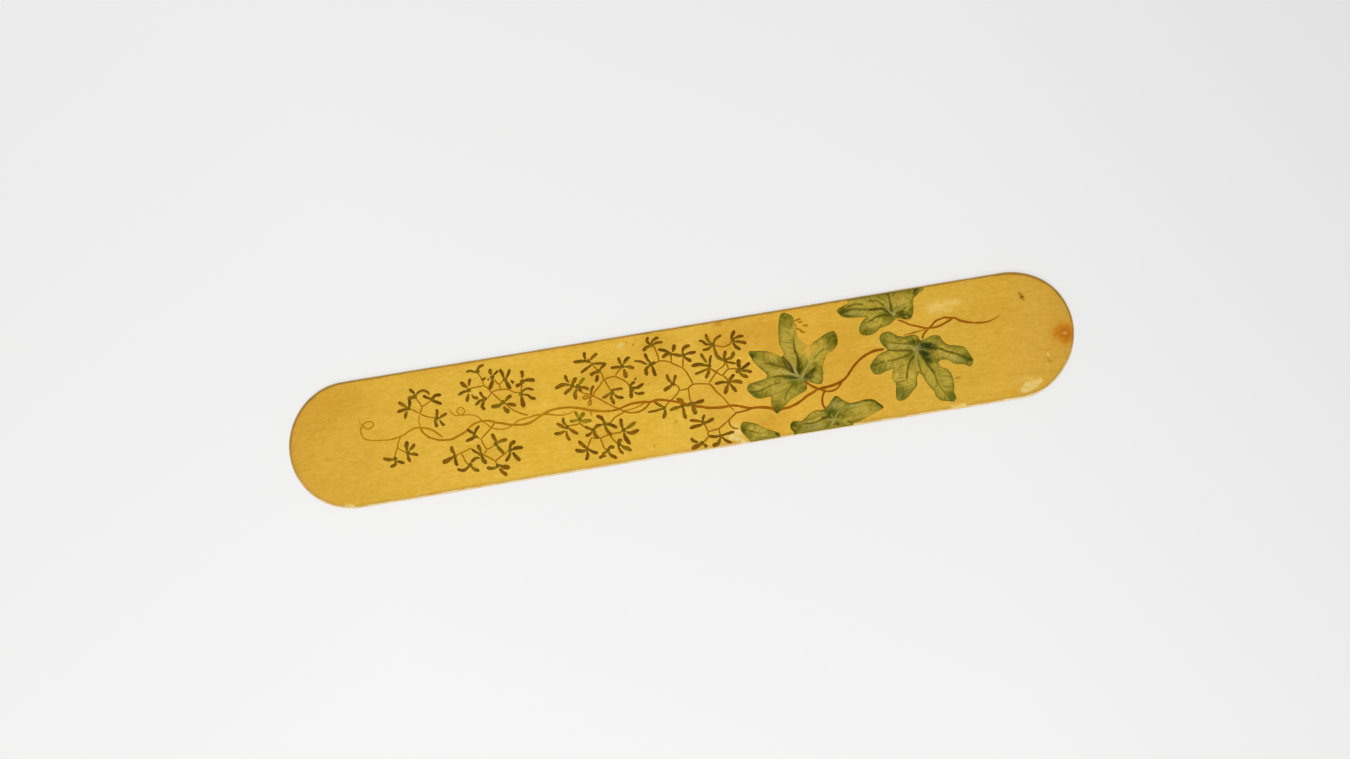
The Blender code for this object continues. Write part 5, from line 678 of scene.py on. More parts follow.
def wood_material():
    n = Nodes("varnished_wood")
    tone = n.attribute("tone", colour=True)
    bare = n.attribute("bare")
    # Soft clouds, faint streaks and a fine, short-fibred figure, lying along the slat.
    clouds = n.grain((0.07, 0.14, 0.14), 3.0, 0.55, 2.2)
    streaks = n.grain((0.055, 0.60, 0.60), 3.0, 0.55, 1.3, 0.35)
    strands = n.grain((0.34, 1.05, 1.05), 2.0, 0.55, 9.3, 0.10)
    fibres = n.grain((0.75, 1.6, 1.6), 2.0, 0.55, 4.1)
    grit = n.grain((1.6, 3.4, 3.4), 1.0, 0.5, 6.1)
    flecks = n.grain((0.55, 2.0, 2.0), 2.0, 0.5, 7.7)
    c = tone
    for pattern, amount in ((clouds, 0.035), (streaks, 0.018), (strands, 0.034), (fibres, 0.062), (grit, 0.035)):
        c = colour_mix(n, "MULTIPLY", 1.0, c, n.ramp(pattern, [(0.30, (1 - amount, 1 - 1.1 * amount, 1 - 3.4 * amount)), (0.50, (1.0, 1.0, 1.0)), (0.70, (1 + amount, 1 + 1.1 * amount, 1 + 3.4 * amount))]))
    c = colour_mix(n, "MULTIPLY", 1.0, c, n.ramp(flecks, [(0.25, (0.85, 0.80, 0.66)), (0.34, (1.0, 1.0, 1.0)), (0.72, (1.0, 1.0, 1.0)), (0.80, (1.05, 1.06, 1.15))]))
    n.link(c, n.shader.inputs["Base Color"])
    rough = n.span(fibres, 0.2, 0.8, 0.36, 0.50)
    rough = n.maths("ADD", rough, n.maths("MULTIPLY", bare, 0.32))
    n.link(rough, n.shader.inputs["Roughness"])
    varnish(n)
    ground = n.bump(fibres, 0.018)
    ground = n.bump(strands, 0.020, 1.0, ground)
    n.link(ground, n.shader.inputs["Normal"])
    return n.material


def paint_material(name, streak=(0.35, 0.35), strength=0.10, roughness=0.46, bump=0.015):
    n = Nodes(name)
    tone = n.attribute("tone", colour=True)
    bristle = n.grain((streak[0] * 2, streak[1] * 2, 1.0), 3.0, 0.6, 3.4)
    wash = n.grain((0.30, 0.30, 0.3), 2.0, 0.5, 5.9)
    fibres = n.grain((0.16, 3.2, 3.2), 3.0, 0.6, 4.1)
    lo, hi = 1 - strength, 1 + strength
    c = colour_mix(n, "MULTIPLY", 1.0, tone, n.ramp(bristle, [(0.3, (lo, lo, lo)), (0.7, (hi, hi, hi))]))
    c = colour_mix(n, "MULTIPLY", 1.0, c, n.ramp(wash, [(0.3, (0.95, 0.96, 0.94)), (0.7, (1.05, 1.04, 1.06))]))
    c = colour_mix(n, "MULTIPLY", 1.0, c, n.ramp(fibres, [(0.3, (0.93, 0.93, 0.90)), (0.65, (1.04, 1.04, 1.06))]))
    n.link(c, n.shader.inputs["Base Color"])
    n.link(n.span(bristle, 0.2, 0.8, roughness - 0.06, roughness + 0.06), n.shader.inputs["Roughness"])
    varnish(n)
    ground = n.bump(fibres, 0.012)
    n.link(n.bump(bristle, bump, 1.0, ground), n.shader.inputs["Normal"])
    return n.material


# ---------------------------------------------------------------- the slat
WOOD_STOPS = [(-110, (205, 157, 58)), (-106, (211, 163, 59)), (-97, (214, 167, 60)), (-80, (219, 173, 60)), (-60, (222, 177, 63)), (-20, (223, 177, 60)), (5, (223, 179, 65)), (25, (222, 174, 61)), (45, (217, 168, 57)), (72, (214, 170, 61)), (92, (212, 165, 59)), (103, (208, 161, 59)), (110, (201, 153, 57))]
FLAKE_COLOUR = linear((226, 194, 104))
EDGE_COLOUR = linear((136, 108, 36))
STAIN_COLOUR = linear((182, 98, 10))


def clean_wood(x, y):
    at = np.array([s[0] for s in WOOD_STOPS], float)
    tones = np.array([linear(s[1]) for s in WOOD_STOPS])
    c = np.stack([np.interp(x, at, tones[:, k]) for k in range(3)], -1)
    warm = linear((202, 148, 44))
    # The left end is browner towards its upper side; two faint brown clouds lie above the first sprays.
    c = blend(c, warm, 0.45 * step(-86, -106, x) * step(-4, 14, y + 4 * layered(x / 9, y / 6, 31)))
    for cx, cy, rx, ry, w in ((-46, 7, 10, 5, 0.32), (-20, 7.5, 13, 6, 0.45), (-6, 14, 9, 4, 0.60), (17, 12, 16, 6, 0.62), (22, -12, 9, 4, 0.55), (27, 9, 6, 9, 0.50), (8, -3, 14, 4, 0.30), (46, 2, 9, 9, 0.25), (-24, -9, 10, 4, 0.30), (-56, -8, 12, 4, 0.20), (-95, 13, 12, 5, 0.35), (88, 6, 9, 6, 0.10), (-23, 1, 10, 5, 0.42), (-5, 6, 11, 6, 0.36), (8, -9, 7, 6, 0.38), (-88, 12, 6, 5, 0.25), (-88, -6, 6, 4, 0.20)):
        d = np.hypot((x - cx) / rx, (y - cy) / ry) + 0.25 * layered(x / 5, y / 3, 37)
        c = blend(c, warm, w * step(1.2, 0.1, d))
    return c


def wood_at(x, y):
    """The wood's colour on the top face with its marks, and how bare of varnish it is."""
    c = clean_wood(x, y)
    bare = np.zeros(np.shape(x))
    # The red-brown stain.
    d = np.hypot((x - 107.4) / 4.4, (y + 1.7) / 4.0) + 0.34 * layered(x / 1.5, y / 1.5, 41, 3)
    c = blend(c, linear((204, 136, 28)), 0.75 * step(1.30, 0.45, d))
    c = blend(c, STAIN_COLOUR, 0.85 * step(0.95, 0.20, d))
    c = blend(c, linear((240, 190, 110)), 0.7 * step(0.55, 0.2, np.hypot(x - 107.4, y + 1.7)))
    # Rubbed, paler patches above the runner.
    for cx, cy, rx, ry, w in ((73.5, 11, 3.9, 1.9, 0.42), (78.3, 11.8, 3.0, 1.3, 0.36), (76.5, 9.8, 2.2, 0.8, 0.28), (13, -12.2, 2.4, 1.4, 0.3), (95.5, -12.6, 4.5, 1.2, 0.25), (100.5, 7.5, 2.6, 1.2, 0.12)):
        d = np.hypot((x - cx) / rx, (y - cy) / ry) + 0.35 * layered(x / 1.1, y / 0.8, 43)
        c = blend(c, linear((238, 208, 118)), w * step(1.15, 0.35, d))
    # Dark flecks: a drop shape, smudges and specks.
    for cx, cy, rx, ry, turn, w, tone in (
        (97.2, 10.1, 0.72, 0.62, 0, 0.90, (118, 66, 0)),
        (96.8, 11.0, 0.30, 0.85, 22, 0.80, (130, 82, 4)),
        (97.5, 9.3, 0.26, 0.60, 14, 0.50, (150, 98, 10)),
        (90.4, -15.6, 1.1, 0.7, 0, 0.55, (214, 146, 26)),
        (101.9, -8.4, 0.22, 1.2, 24, 0.60, (166, 122, 30)),
        (102.0, -5.4, 1.5, 0.22, -6, 0.50, (184, 134, 40)),
        (99.4, -5.0, 0.9, 0.18, -10, 0.40, (186, 138, 44)),
        (105.2, -12.0, 0.9, 0.6, 30, 0.35, (186, 140, 20)),
        (76, -9.1, 0.9, 0.42, 10, 0.55, (142, 92, 34)),
        (13, 16.4, 1.1, 0.6, 0, 0.5, (150, 98, 38)),
        (-12.75, 15.5, 0.32, 0.32, 0, 0.7, (92, 62, 30)),
        (-11.25, 14.5, 0.30, 0.30, 0, 0.7, (98, 66, 30)),
        (-2.75, -8.5, 0.25, 0.25, 0, 0.55, (110, 76, 34)),
        (-9.9, -14, 0.25, 0.25, 0, 0.5, (110, 76, 34)),
        (-66.5, -11.8, 0.5, 0.16, 5, 0.35, (150, 104, 42)),
        (99.8, -9.5, 0.2, 0.7, 0, 0.35, (150, 104, 42)),
    ):
        a = math.radians(turn)
        u, v = (x - cx) * math.cos(a) + (y - cy) * math.sin(a), -(x - cx) * math.sin(a) + (y - cy) * math.cos(a)
        d = np.hypot(u / rx, v / ry) + 0.2 * layered(x / 0.6, y / 0.6, 47)
        c = blend(c, linear(tone), w * step(1.25, 0.5, d))
    # A hair-thin scratch from the light speck at the right end.
    d, along, _ = to_line(x, y, [(101.7, -6.5), (102.1, -7.4), (102.3, -8.6)])
    c = blend(c, linear((236, 204, 120)), 0.5 * step(0.22, 0.05, d) * (1 - along))
    # Brown gathers along the edge, most at the ends, where varnish collected. Along the upper side the edge is darker
    # still, and that extra darkness is painted shade, as the light comes from the lower side.
    d = inset(x, y)
    upper = step(-0.6, 0.8, y / RADIUS)
    ends = step(84, 100, np.abs(x))
    reach = 0.62 + 0.22 * noise(x / 2.3, y / 2.3, 51) + 0.25 * ends
    dark = np.clip(0.30 + 0.48 * upper + 0.20 * ends + 0.22 * layered(x / 4, y / 4, 53), 0, 0.95)
    c = blend(c, EDGE_COLOUR, dark * step(reach, reach * 0.25, d))
    # Along the lower side a thin brown line runs inside the arris, and the arris itself is painted cream: a painted
    # highlight where the light from the lower side catches the rounding.
    lower = step(0.0, 0.85, -y / RADIUS) * (0.75 + 0.3 * layered(x / 5, y / 5, 55))
    c = blend(c, linear((178, 146, 62)), 0.75 * lower * step(1.15, 0.6, d))
    # Painted highlight: the cream line on the lower arris.
    c = blend(c, linear((254, 238, 196)), 0.85 * np.clip(lower, 0, 1) * step(0.46, 0.16, d + 0.10 * noise(x / 1.7, y / 1.7, 56)))
    c = blend(c, linear((205, 138, 48)), 0.30 * step(2.0, 0.5, d) * (0.5 + 0.5 * noise(x / 6, y / 6, 57)))
    # Flakes.
    for loop, _ in FLAKES:
        w = flake_weight(x, y, loop)
        pale = blend(np.broadcast_to(FLAKE_COLOUR, c.shape), linear((238, 214, 146)), np.clip(0.35 + 0.8 * layered(x / 1.3, y / 0.8, 61), 0, 1))
        c = blend(c, pale, 0.80 * w)
        bare = np.maximum(bare, w)
    return c, bare


def flake_weight(x, y, loop):
    loop = np.asarray(loop, float)
    near = (x > loop[:, 0].min() - 1.5) & (x < loop[:, 0].max() + 1.5) & (y > loop[:, 1].min() - 1.5) & (y < loop[:, 1].max() + 1.5)
    out = np.zeros(np.shape(x))
    if near.any():
        xs, ys = x[near], y[near]
        closed = np.vstack([loop, loop[:1]])
        d = to_line(xs, ys, closed)[0] * np.where(is_inside(xs, ys, loop), 1, -1)
        small = min(1.0, 0.25 * float(np.ptp(loop, axis=0).min()))
        out[near] = step(-0.22, 0.24, d + small * 0.8 * layered(xs / 1.5, ys / 1.1, 67, 2))
    return out


def flake_depth(x, y):
    depth = np.zeros(np.shape(x))
    for loop, deep in FLAKES:
        depth = np.maximum(depth, deep * flake_weight(x, y, loop) * (0.8 + 0.3 * layered(x / 0.9, y / 0.7, 71)))
    return depth


def outline(spacing):
    """The slat's outline, anticlockwise, with even steps."""
    turns = np.linspace(-math.pi / 2, math.pi / 2, 200)
    r = end_radius(turns)
    right = np.column_stack([REACH + r * np.cos(turns), r * np.sin(turns)])
    xs = np.linspace(REACH, -REACH, 401)[1:-1]
    upper = np.column_stack([xs, half_width(xs)])
    return even(np.vstack([right, upper, -right, -upper]), spacing, closed=True)


def make_blade():
    rim = outline(0.42)
    n = len(rim)
    along = np.roll(rim, -1, axis=0) - np.roll(rim, 1, axis=0)
    along /= np.hypot(*along.T)[:, None]
    inward = np.column_stack([-along[:, 1], along[:, 0]])
    r = rounding(rim[:, 0], rim[:, 1])
    low_r = ROUNDING * (0.85 + 0.14 * noise(rim[:, 0] / 5, rim[:, 1] / 5, 9))
    dent = 0.035 * layered(rim[:, 0] / 5.5, rim[:, 1] / 5.5, 13) + 0.02 * noise(rim[:, 0] / 1.1, rim[:, 1] / 1.1, 14)
    rings = []
    for d in (3.4, 2.7, 2.15, 1.7, 1.35, 1.05, 0.82):
        rings.append((np.full(n, d), None))
    for k in range(8):
        a = math.pi / 2 * k / 7
        rings.append((r * (1 - math.sin(a)), TOP - r * (1 - math.cos(a))))
    rings.append((np.zeros(n), TOP - r - (TOP - r - low_r) * 0.33))
    rings.append((np.zeros(n), TOP - r - (TOP - r - low_r) * 0.66))
    for k in range(6):
        a = math.pi / 2 * k / 5
        rings.append((low_r * (1 - math.cos(a)), low_r * (1 - math.sin(a))))
    for d in (1.6, 3.4):
        rings.append((np.full(n, d), np.zeros(n)))
    verts = []
    for k, (d, z) in enumerate(rings):
        amount = np.clip(1 - d / 0.9, 0, 1)
        on_top = k < 7 + 8
        # The worn sides stand out a little below the top's rounding.
        swell = 0.0 if on_top else (0.19 + 0.06 * step(-8, 8, rim[:, 1])) * np.sin(math.pi * np.clip((TOP - r - z) / (TOP - r), 0, 1))
        xy = rim + inward * (d - swell + np.maximum(-0.005, -dent * amount))[:, None]
        zz = height(xy[:, 0], xy[:, 1]) if z is None else z
        if on_top:
            zz = zz - flake_depth(xy[:, 0], xy[:, 1]) * step(-0.02, 0.4, zz - (TOP - 0.6))
        verts.append(np.column_stack([xy, zz]))
    verts = np.vstack(verts)
    faces = []
    for k in range(len(rings) - 1):
        for i in range(n):
            j = (i + 1) % n
            a, b = k * n + i, k * n + j
            faces.append((a, a + n, b + n, b))
    # The flat top, finer around the marks.
    inner = verts[:n, :2]
    fine = []
    for loop, _ in FLAKES:
        loop = np.asarray(loop, float)
        lo, hi = loop.min(axis=0) - 0.9, loop.max(axis=0) + 0.9
        fine.append(np.stack(np.meshgrid(np.arange(lo[0], hi[0], 0.26), np.arange(lo[1], hi[1], 0.26)), -1).reshape(-1, 2))
    for x0, x1, y0, y1 in ((101.5, 111, -6.5, 2.5), (95.5, 98.5, 8.2, 12.6), (69, 82, 8.3, 14), (74.5, 77.5, -10, -8.2)):
        fine.append(np.stack(np.meshgrid(np.arange(x0, x1, 0.35), np.arange(y0, y1, 0.35)), -1).reshape(-1, 2))
    fine = np.vstack(fine)
    fine = fine + 0.05 * np.column_stack([noise(fine[:, 0] * 9, fine[:, 1] * 9, 3), noise(fine[:, 0] * 8, fine[:, 1] * 8, 4)])
    fine = fine[is_inside(fine[:, 0], fine[:, 1], inner)]
    fine = fine[to_line(fine[:, 0], fine[:, 1], np.vstack([inner, inner[:1]]))[0] > 0.2]
    fine = fine[np.unique(np.round(fine / 0.2), axis=0, return_index=True)[1]]
    xy, tri = filled([inner], 0.85, 0.3, 5, fine)
    # The fill keeps the rim's corners first, in their order.
    assert np.allclose(xy[:n], inner, atol=1e-4)
    extra = xy[n:]
    zz = TOP - flake_depth(extra[:, 0], extra[:, 1])
    base = len(verts)
    verts = np.vstack([verts, np.column_stack([extra, zz])])
    shift = lambda i: i if i < n else i - n + base
    faces += [tuple(shift(int(i)) for i in t) for t in tri]
    # The flat back.
    last = (len(rings) - 1) * n
    back = [Vector(p) for p in verts[last : last + n, :2].tolist()]
    gx, gy = np.meshgrid(np.arange(-106, 107, 4.0), np.arange(-12, 13, 4.0))
    grid = np.stack([gx.ravel(), gy.ravel()], 1)
    grid = grid[is_inside(grid[:, 0], grid[:, 1], verts[last : last + n, :2])]
    grid = grid[to_line(grid[:, 0], grid[:, 1], np.vstack([verts[last : last + n, :2], verts[last : last + 1, :2]]))[0] > 1.2]
    bverts, _, bfaces, _, _, _ = delaunay_2d_cdt(back + [Vector(p) for p in grid.tolist()], [(k, (k + 1) % n) for k in range(n)], [], 1, 1e-6, True)
    bxy = np.array([tuple(v) for v in bverts])
    base2 = len(verts)
    verts = np.vstack([verts, np.column_stack([bxy[n:], np.zeros(len(bxy) - n)])])
    middles = np.array([bxy[list(f)].mean(axis=0) for f in bfaces])
    # The long sides are a little hollow, so the fill also spans from end to end outside them.
    kept = is_inside(middles[:, 0], middles[:, 1], bxy[:n])
    for f, keep in zip(bfaces, kept):
        if not keep:
            continue
        a, b, c = (bxy[i] for i in f[:3])
        turn = (b[0] - a[0]) * (c[1] - a[1]) - (b[1] - a[1]) * (c[0] - a[0])
        ids = [last + i if i < n else base2 + i - n for i in f]
        faces.append(tuple(ids[::-1] if turn > 0 else ids))
    x, y, z = verts.T
    tone, bare = wood_at(x, y)
    # Sides and back: no marks. The sides are painted pale cream, a painted glow standing in for the light the bright
    # floor throws back onto the edge.
    down = step(TOP - 0.25, TOP - 0.9, z)
    back_tone = clean_wood(x, -y) * 0.97
    # Pale cream for the sides: painted light bounced from the floor.
    edge = blend(np.broadcast_to(linear((214, 178, 120)), tone.shape), linear((246, 222, 178)), 0.5 + 0.5 * layered(x / 3.0, (y + z) / 1.5, 83))
    side_glow_amount = down * step(1.1, 0.15, inset(x, y))
    back_tone = blend(back_tone, EDGE_COLOUR, 0.45 * step(0.8, 0.2, inset(x, y)))
    tone = blend(tone, back_tone, step(0.6, 0.1, z) * np.where(inset(x, y) > 0.4, 1, 0.6))
    tone = blend(tone, edge, side_glow_amount * step(0.05, 0.4, z) * 0.9)
    bare = bare * (1 - step(0.6, 0.1, z))
    piece = mesh_piece("slat", verts, faces, tone, {"bare": bare}, wood_material())
    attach(piece, "root")
    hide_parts("wood_blade")
    return piece


# ---------------------------------------------------------------- paint
# Where paint thins out the wood under it looks soaked: yellower and deeper.
SOAKED = np.array([0.97, 0.93, 0.30])


def add_stroke(build, points, start, end, tone, light=None, lift=0.030, steps=5, seed=1, fade_start=False, fade_end=False, wander=0.14, thin=0.0):
    """A brushed line with a slightly domed back, tapered ends and an uneven width."""
    line = even(curve_through(points, steps), 0.34)
    n = len(line)
    along = np.gradient(line, axis=0)
    along /= np.maximum(np.hypot(*along.T), 1e-9)[:, None]
    across = np.column_stack([-along[:, 1], along[:, 0]])
    t = np.linspace(0, 1, n)
    run = np.arange(n) * 0.34
    half = (start + (end - start) * t) * (1 + wander * noise(run / 1.7, run * 0 + seed, seed) + 0.5 * wander * noise(run / 0.6, run * 0 + seed, seed + 3))
    tip = 0.55
    half = half * np.sqrt(np.clip((run + 0.08) / tip, 0.03, 1)) * np.sqrt(np.clip((run[-1] - run + 0.08) / tip, 0.03, 1))
    cells = ((-1.0, 0.12, 0.30), (-0.62, 0.8, 0.02), (0.0, 1.0, 0.0), (0.62, 0.8, 0.02), (1.0, 0.12, 0.30))
    tone, light = linear(tone), linear(light if light is not None else tone)
    rows, colours = [], []
    for f, h, w in cells:
        p = line + across * (half * f)[:, None]
        rows.append(np.column_stack([p, height(p[:, 0], p[:, 1]) + lift * h]))
        c = blend(np.broadcast_to(tone, (n, 3)), light, np.clip(0.5 * (f + 1) * 0.9 + 0.25 * noise(run / 2.5, run * 0 + 2 * seed, seed + 9), 0, 1))
        bleed = np.full(n, w)
        if fade_start:
            bleed = np.maximum(bleed, 0.75 * (1 - np.clip(run / 3.0, 0, 1)))
        if fade_end:
            bleed = np.maximum(bleed, 0.75 * (1 - np.clip((run[-1] - run) / 4.0, 0, 1)))
        colours.append(blend(c, clean_wood(p[:, 0], p[:, 1]) * SOAKED, np.maximum(bleed, thin)))
    for f in (-1.0, 1.0):
        p = line + across * (half * f * 0.97)[:, None]
        rows.append(np.column_stack([p, height(p[:, 0], p[:, 1]) + 0.0008]))
        colours.append(blend(np.broadcast_to(tone, (n, 3)), clean_wood(p[:, 0], p[:, 1]) * SOAKED, 0.34))
    verts = np.vstack(rows)
    ring = [0, 1, 2, 3, 4, 6, 5]
    faces = []
    for i in range(n - 1):
        for k in range(7):
            a, b = ring[k] * n, ring[(k + 1) % 7] * n
            faces.append((a + i, a + i + 1, b + i + 1, b + i))
    faces.append([r * n for r in ring])
    faces.append([r * n + n - 1 for r in reversed(ring)])
    build.add(verts, faces, np.vstack(colours))


def add_dab(build, path, half, seed, dark, pale, glow, lift, thin=0.0):
    """One leaflet: a brush dab along its points, narrow at its base, round at its tip, domed, with an uneven edge.
    Brown gathers at its rim and tip; the middle stays olive."""
    path = np.asarray(path, float)
    line = curve_through(path, 8) if len(path) > 2 else path
    steps = np.hypot(*np.diff(line, axis=0).T)
    gone = np.concatenate([[0.0], np.cumsum(steps)])
    length = float(gone[-1])
    us = np.array([0.0, 0.06, 0.15, 0.26, 0.38, 0.50, 0.62, 0.74, 0.85, 0.94, 1.0])
    ws = np.array([0.40, 0.56, 0.70, 0.82, 0.92, 0.98, 1.0, 1.0, 0.90, 0.66, 0.24])
    spine = np.column_stack([np.interp(us * length, gone, line[:, k]) for k in (0, 1)])
    ahead = np.column_stack([np.interp(np.clip(us * length + 0.15, 0, length), gone, line[:, k]) - np.interp(np.clip(us * length - 0.15, 0, length), gone, line[:, k]) for k in (0, 1)])
    ahead /= np.hypot(*ahead.T)[:, None]
    side = np.column_stack([-ahead[:, 1], ahead[:, 0]])
    vs = np.array([-1.0, -0.72, -0.36, 0.0, 0.36, 0.72, 1.0])
    hs = np.array([0.15, 0.75, 0.95, 1.0, 0.95, 0.75, 0.15])
    rows, colours = [], []
    wob = 1 + 0.20 * noise(us * 4.0, us * 0 + seed, seed)
    wob2 = 1 + 0.20 * noise(us * 4.0, us * 0 + seed, seed + 50)
    for v, h in zip(vs, hs):
        w = half * ws * np.where(v > 0, wob, wob2) * v
        p = spine + side * w[:, None]
        ends = np.clip(np.minimum(us, 1 - us) * 9, 0.15, 1)
        rows.append(np.column_stack([p, height(p[:, 0], p[:, 1]) + lift * h * ends]))
        blot = noise(p[:, 0] / 0.45, p[:, 1] / 0.45, 93)
        middle = (1 - abs(v) ** 2.0) * np.clip(1.25 - us * 0.75, 0, 1) * step(1.0, 0.80, us) + 0.50 * blot
        c = blend(np.broadcast_to(dark, (len(us), 3)), pale, np.clip(middle * glow, 0, 1))
        c = c * (1 - 0.22 * noise(p[:, 0] / 0.7, p[:, 1] / 0.7, 95))[:, None]
        bleed = np.maximum({1.0: 0.40, 0.72: 0.06}.get(abs(v), 0.0), 0.36 * step(0.92, 1.0, us))
        bleed = np.clip(bleed + thin, 0, 1)
        colours.append(blend(c, clean_wood(p[:, 0], p[:, 1]) * SOAKED, bleed))
    verts = np.vstack(rows)
    m, q = len(us), len(vs)
    low = verts.copy()
    low[:, 2] = height(low[:, 0], low[:, 1]) + 0.0006
    colours = np.vstack(colours)
    faces = []
    for k in range(q - 1):
        for i in range(m - 1):
            a = k * m + i
            faces.append((a, a + 1, a + m + 1, a + m))
            faces.append((a + q * m, a + m + q * m, a + m + 1 + q * m, a + 1 + q * m))
    rim = [i for i in range(m)] + [k * m + m - 1 for k in range(1, q)] + [(q - 1) * m + i for i in range(m - 2, -1, -1)] + [k * m for k in range(q - 2, 0, -1)]
    for a, b in zip(rim, rim[1:] + rim[:1]):
        faces.append((b, a, a + q * m, b + q * m))
    build.add(np.vstack([verts, low]), faces, np.vstack([colours, colours]))


def make_lines():
    stem = Build()
    red, mid, gold = (132, 70, 0), (144, 80, 0), (170, 118, 0)
    for k, (start, end, points) in enumerate(VINE_STEM):
        x = float(np.mean([p[0] for p in points]))
        w = min(1.0, max(0.0, (x + 78) / 90))
        tone = tuple(np.array(gold) * (1 - w) + np.array(mid) * w) if x < 10 else red
        light = tuple(np.array(tone) * 1.16)
        add_stroke(stem, points, start * 1.14, end * 1.14, tone, light, lift=0.024 + 0.003 * k, seed=k + 1, fade_start=k == 0)
    piece = stem.piece("vine_stem", paint_material("stem_paint", (0.25, 0.25), 0.14))
    done(piece, "painted_vine_stem")
    tendril = Build()
    for k, (start, end, points) in enumerate(VINE_TENDRIL):
        add_stroke(tendril, points, start, end, (168, 114, 4), (182, 130, 14), lift=0.036, seed=k + 21, fade_start=True, fade_end=True)
    done(tendril.piece("tendril", paint_material("tendril_paint", (0.25, 0.25), 0.12)), "painted_tendril")
    runner = Build()
    for k, (start, end, points) in enumerate(VINE_RUNNER):
        fade = k in (1, 3)
        add_stroke(runner, points, start * 1.16, end * 1.16, (138, 72, 0), (164, 94, 0), lift=0.024 + 0.003 * k, seed=k + 31, fade_end=fade, fade_start=k == 3)
    done(runner.piece("runner", paint_material("runner_paint", (0.25, 0.25), 0.12)), "painted_runner")


def done(piece, node):
    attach(piece, "root")
    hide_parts(node)


def make_sprays():
    for index, (node, stalks) in enumerate(SPRAYS.items()):
        build = Build()
        where = node.replace("painted_spray_", "")
        for k, stalk in enumerate(stalks):
            x = stalk[0][0]
            w = min(1.0, max(0.0, (x + 80) / 100))
            tone = tuple(np.array((160, 108, 0)) * (1 - w) + np.array((148, 94, 0)) * w)
            faint = 0.55 if where == "far_left" and k == 0 else 0.0
            add_stroke(build, stalk, 0.21 + 0.03 * w, 0.19 + 0.03 * w, tone, tuple(np.array(tone) * 1.10), lift=0.018 + 0.001 * k, seed=100 * index + k, thin=faint)
        for k, (joint, leaflets) in enumerate(FLORETS[where]):
            greener = where == "lower_middle" and k == 0
            for j, (half, *path) in enumerate(leaflets):
                seed = 1000 + 100 * index + 10 * k + j
                r = float(noise(seed * 0.37, seed * 0.61, 7))
                r2 = float(noise(seed * 0.53, seed * 0.29, 8))
                dark = linear((106 + 22 * r, 60 + 16 * r2, 0))
                pale = linear((118 + 22 * r2, 90 + 18 * r, 12 + 6 * r))
                glow = 0.85 + 0.50 * r2
                if greener or (where == "upper_middle" and k == 1 and j == 0):
                    dark, pale, glow = linear((122, 96, 4)), linear((146, 126, 22)), 0.9
                if where == "low_right" and k == 2 and j == 3:
                    dark, pale = linear((168, 112, 10)), linear((176, 122, 16))
                add_dab(build, path, half * 1.13, seed, dark, pale, glow, 0.034 + 0.0012 * ((3 * j + k) % 11))
            # The leaflets run together where they meet.
            if joint is not None:
                joint = np.asarray(joint, float)
                a = float(noise(index * 3.3 + k, 1.7, 97)) * 3
                turn = np.array([math.cos(a), math.sin(a)]) * 0.62
                add_dab(build, [joint - turn, joint + turn], 0.62, 500 + 10 * index + k, linear((100, 74, 2)), linear((118, 98, 22)), 0.9, 0.050)
        slot = node.replace("painted_", "") + "_paint"
        done(build.piece(node.replace("painted_", ""), paint_material(slot, (0.9, 0.9), 0.12, 0.50, 0.02)), node)


LEAF_GREEN = linear((146, 132, 42))
LEAF_PALE = linear((188, 162, 60))
LEAF_EDGE = linear((106, 104, 26))
LEAF_LINE = linear((84, 74, 4))


def touch(c, x, y, colour, weight):
    return blend(c, clean_wood(x, y) if colour == "wood" else linear(PIGMENTS[colour]), weight)


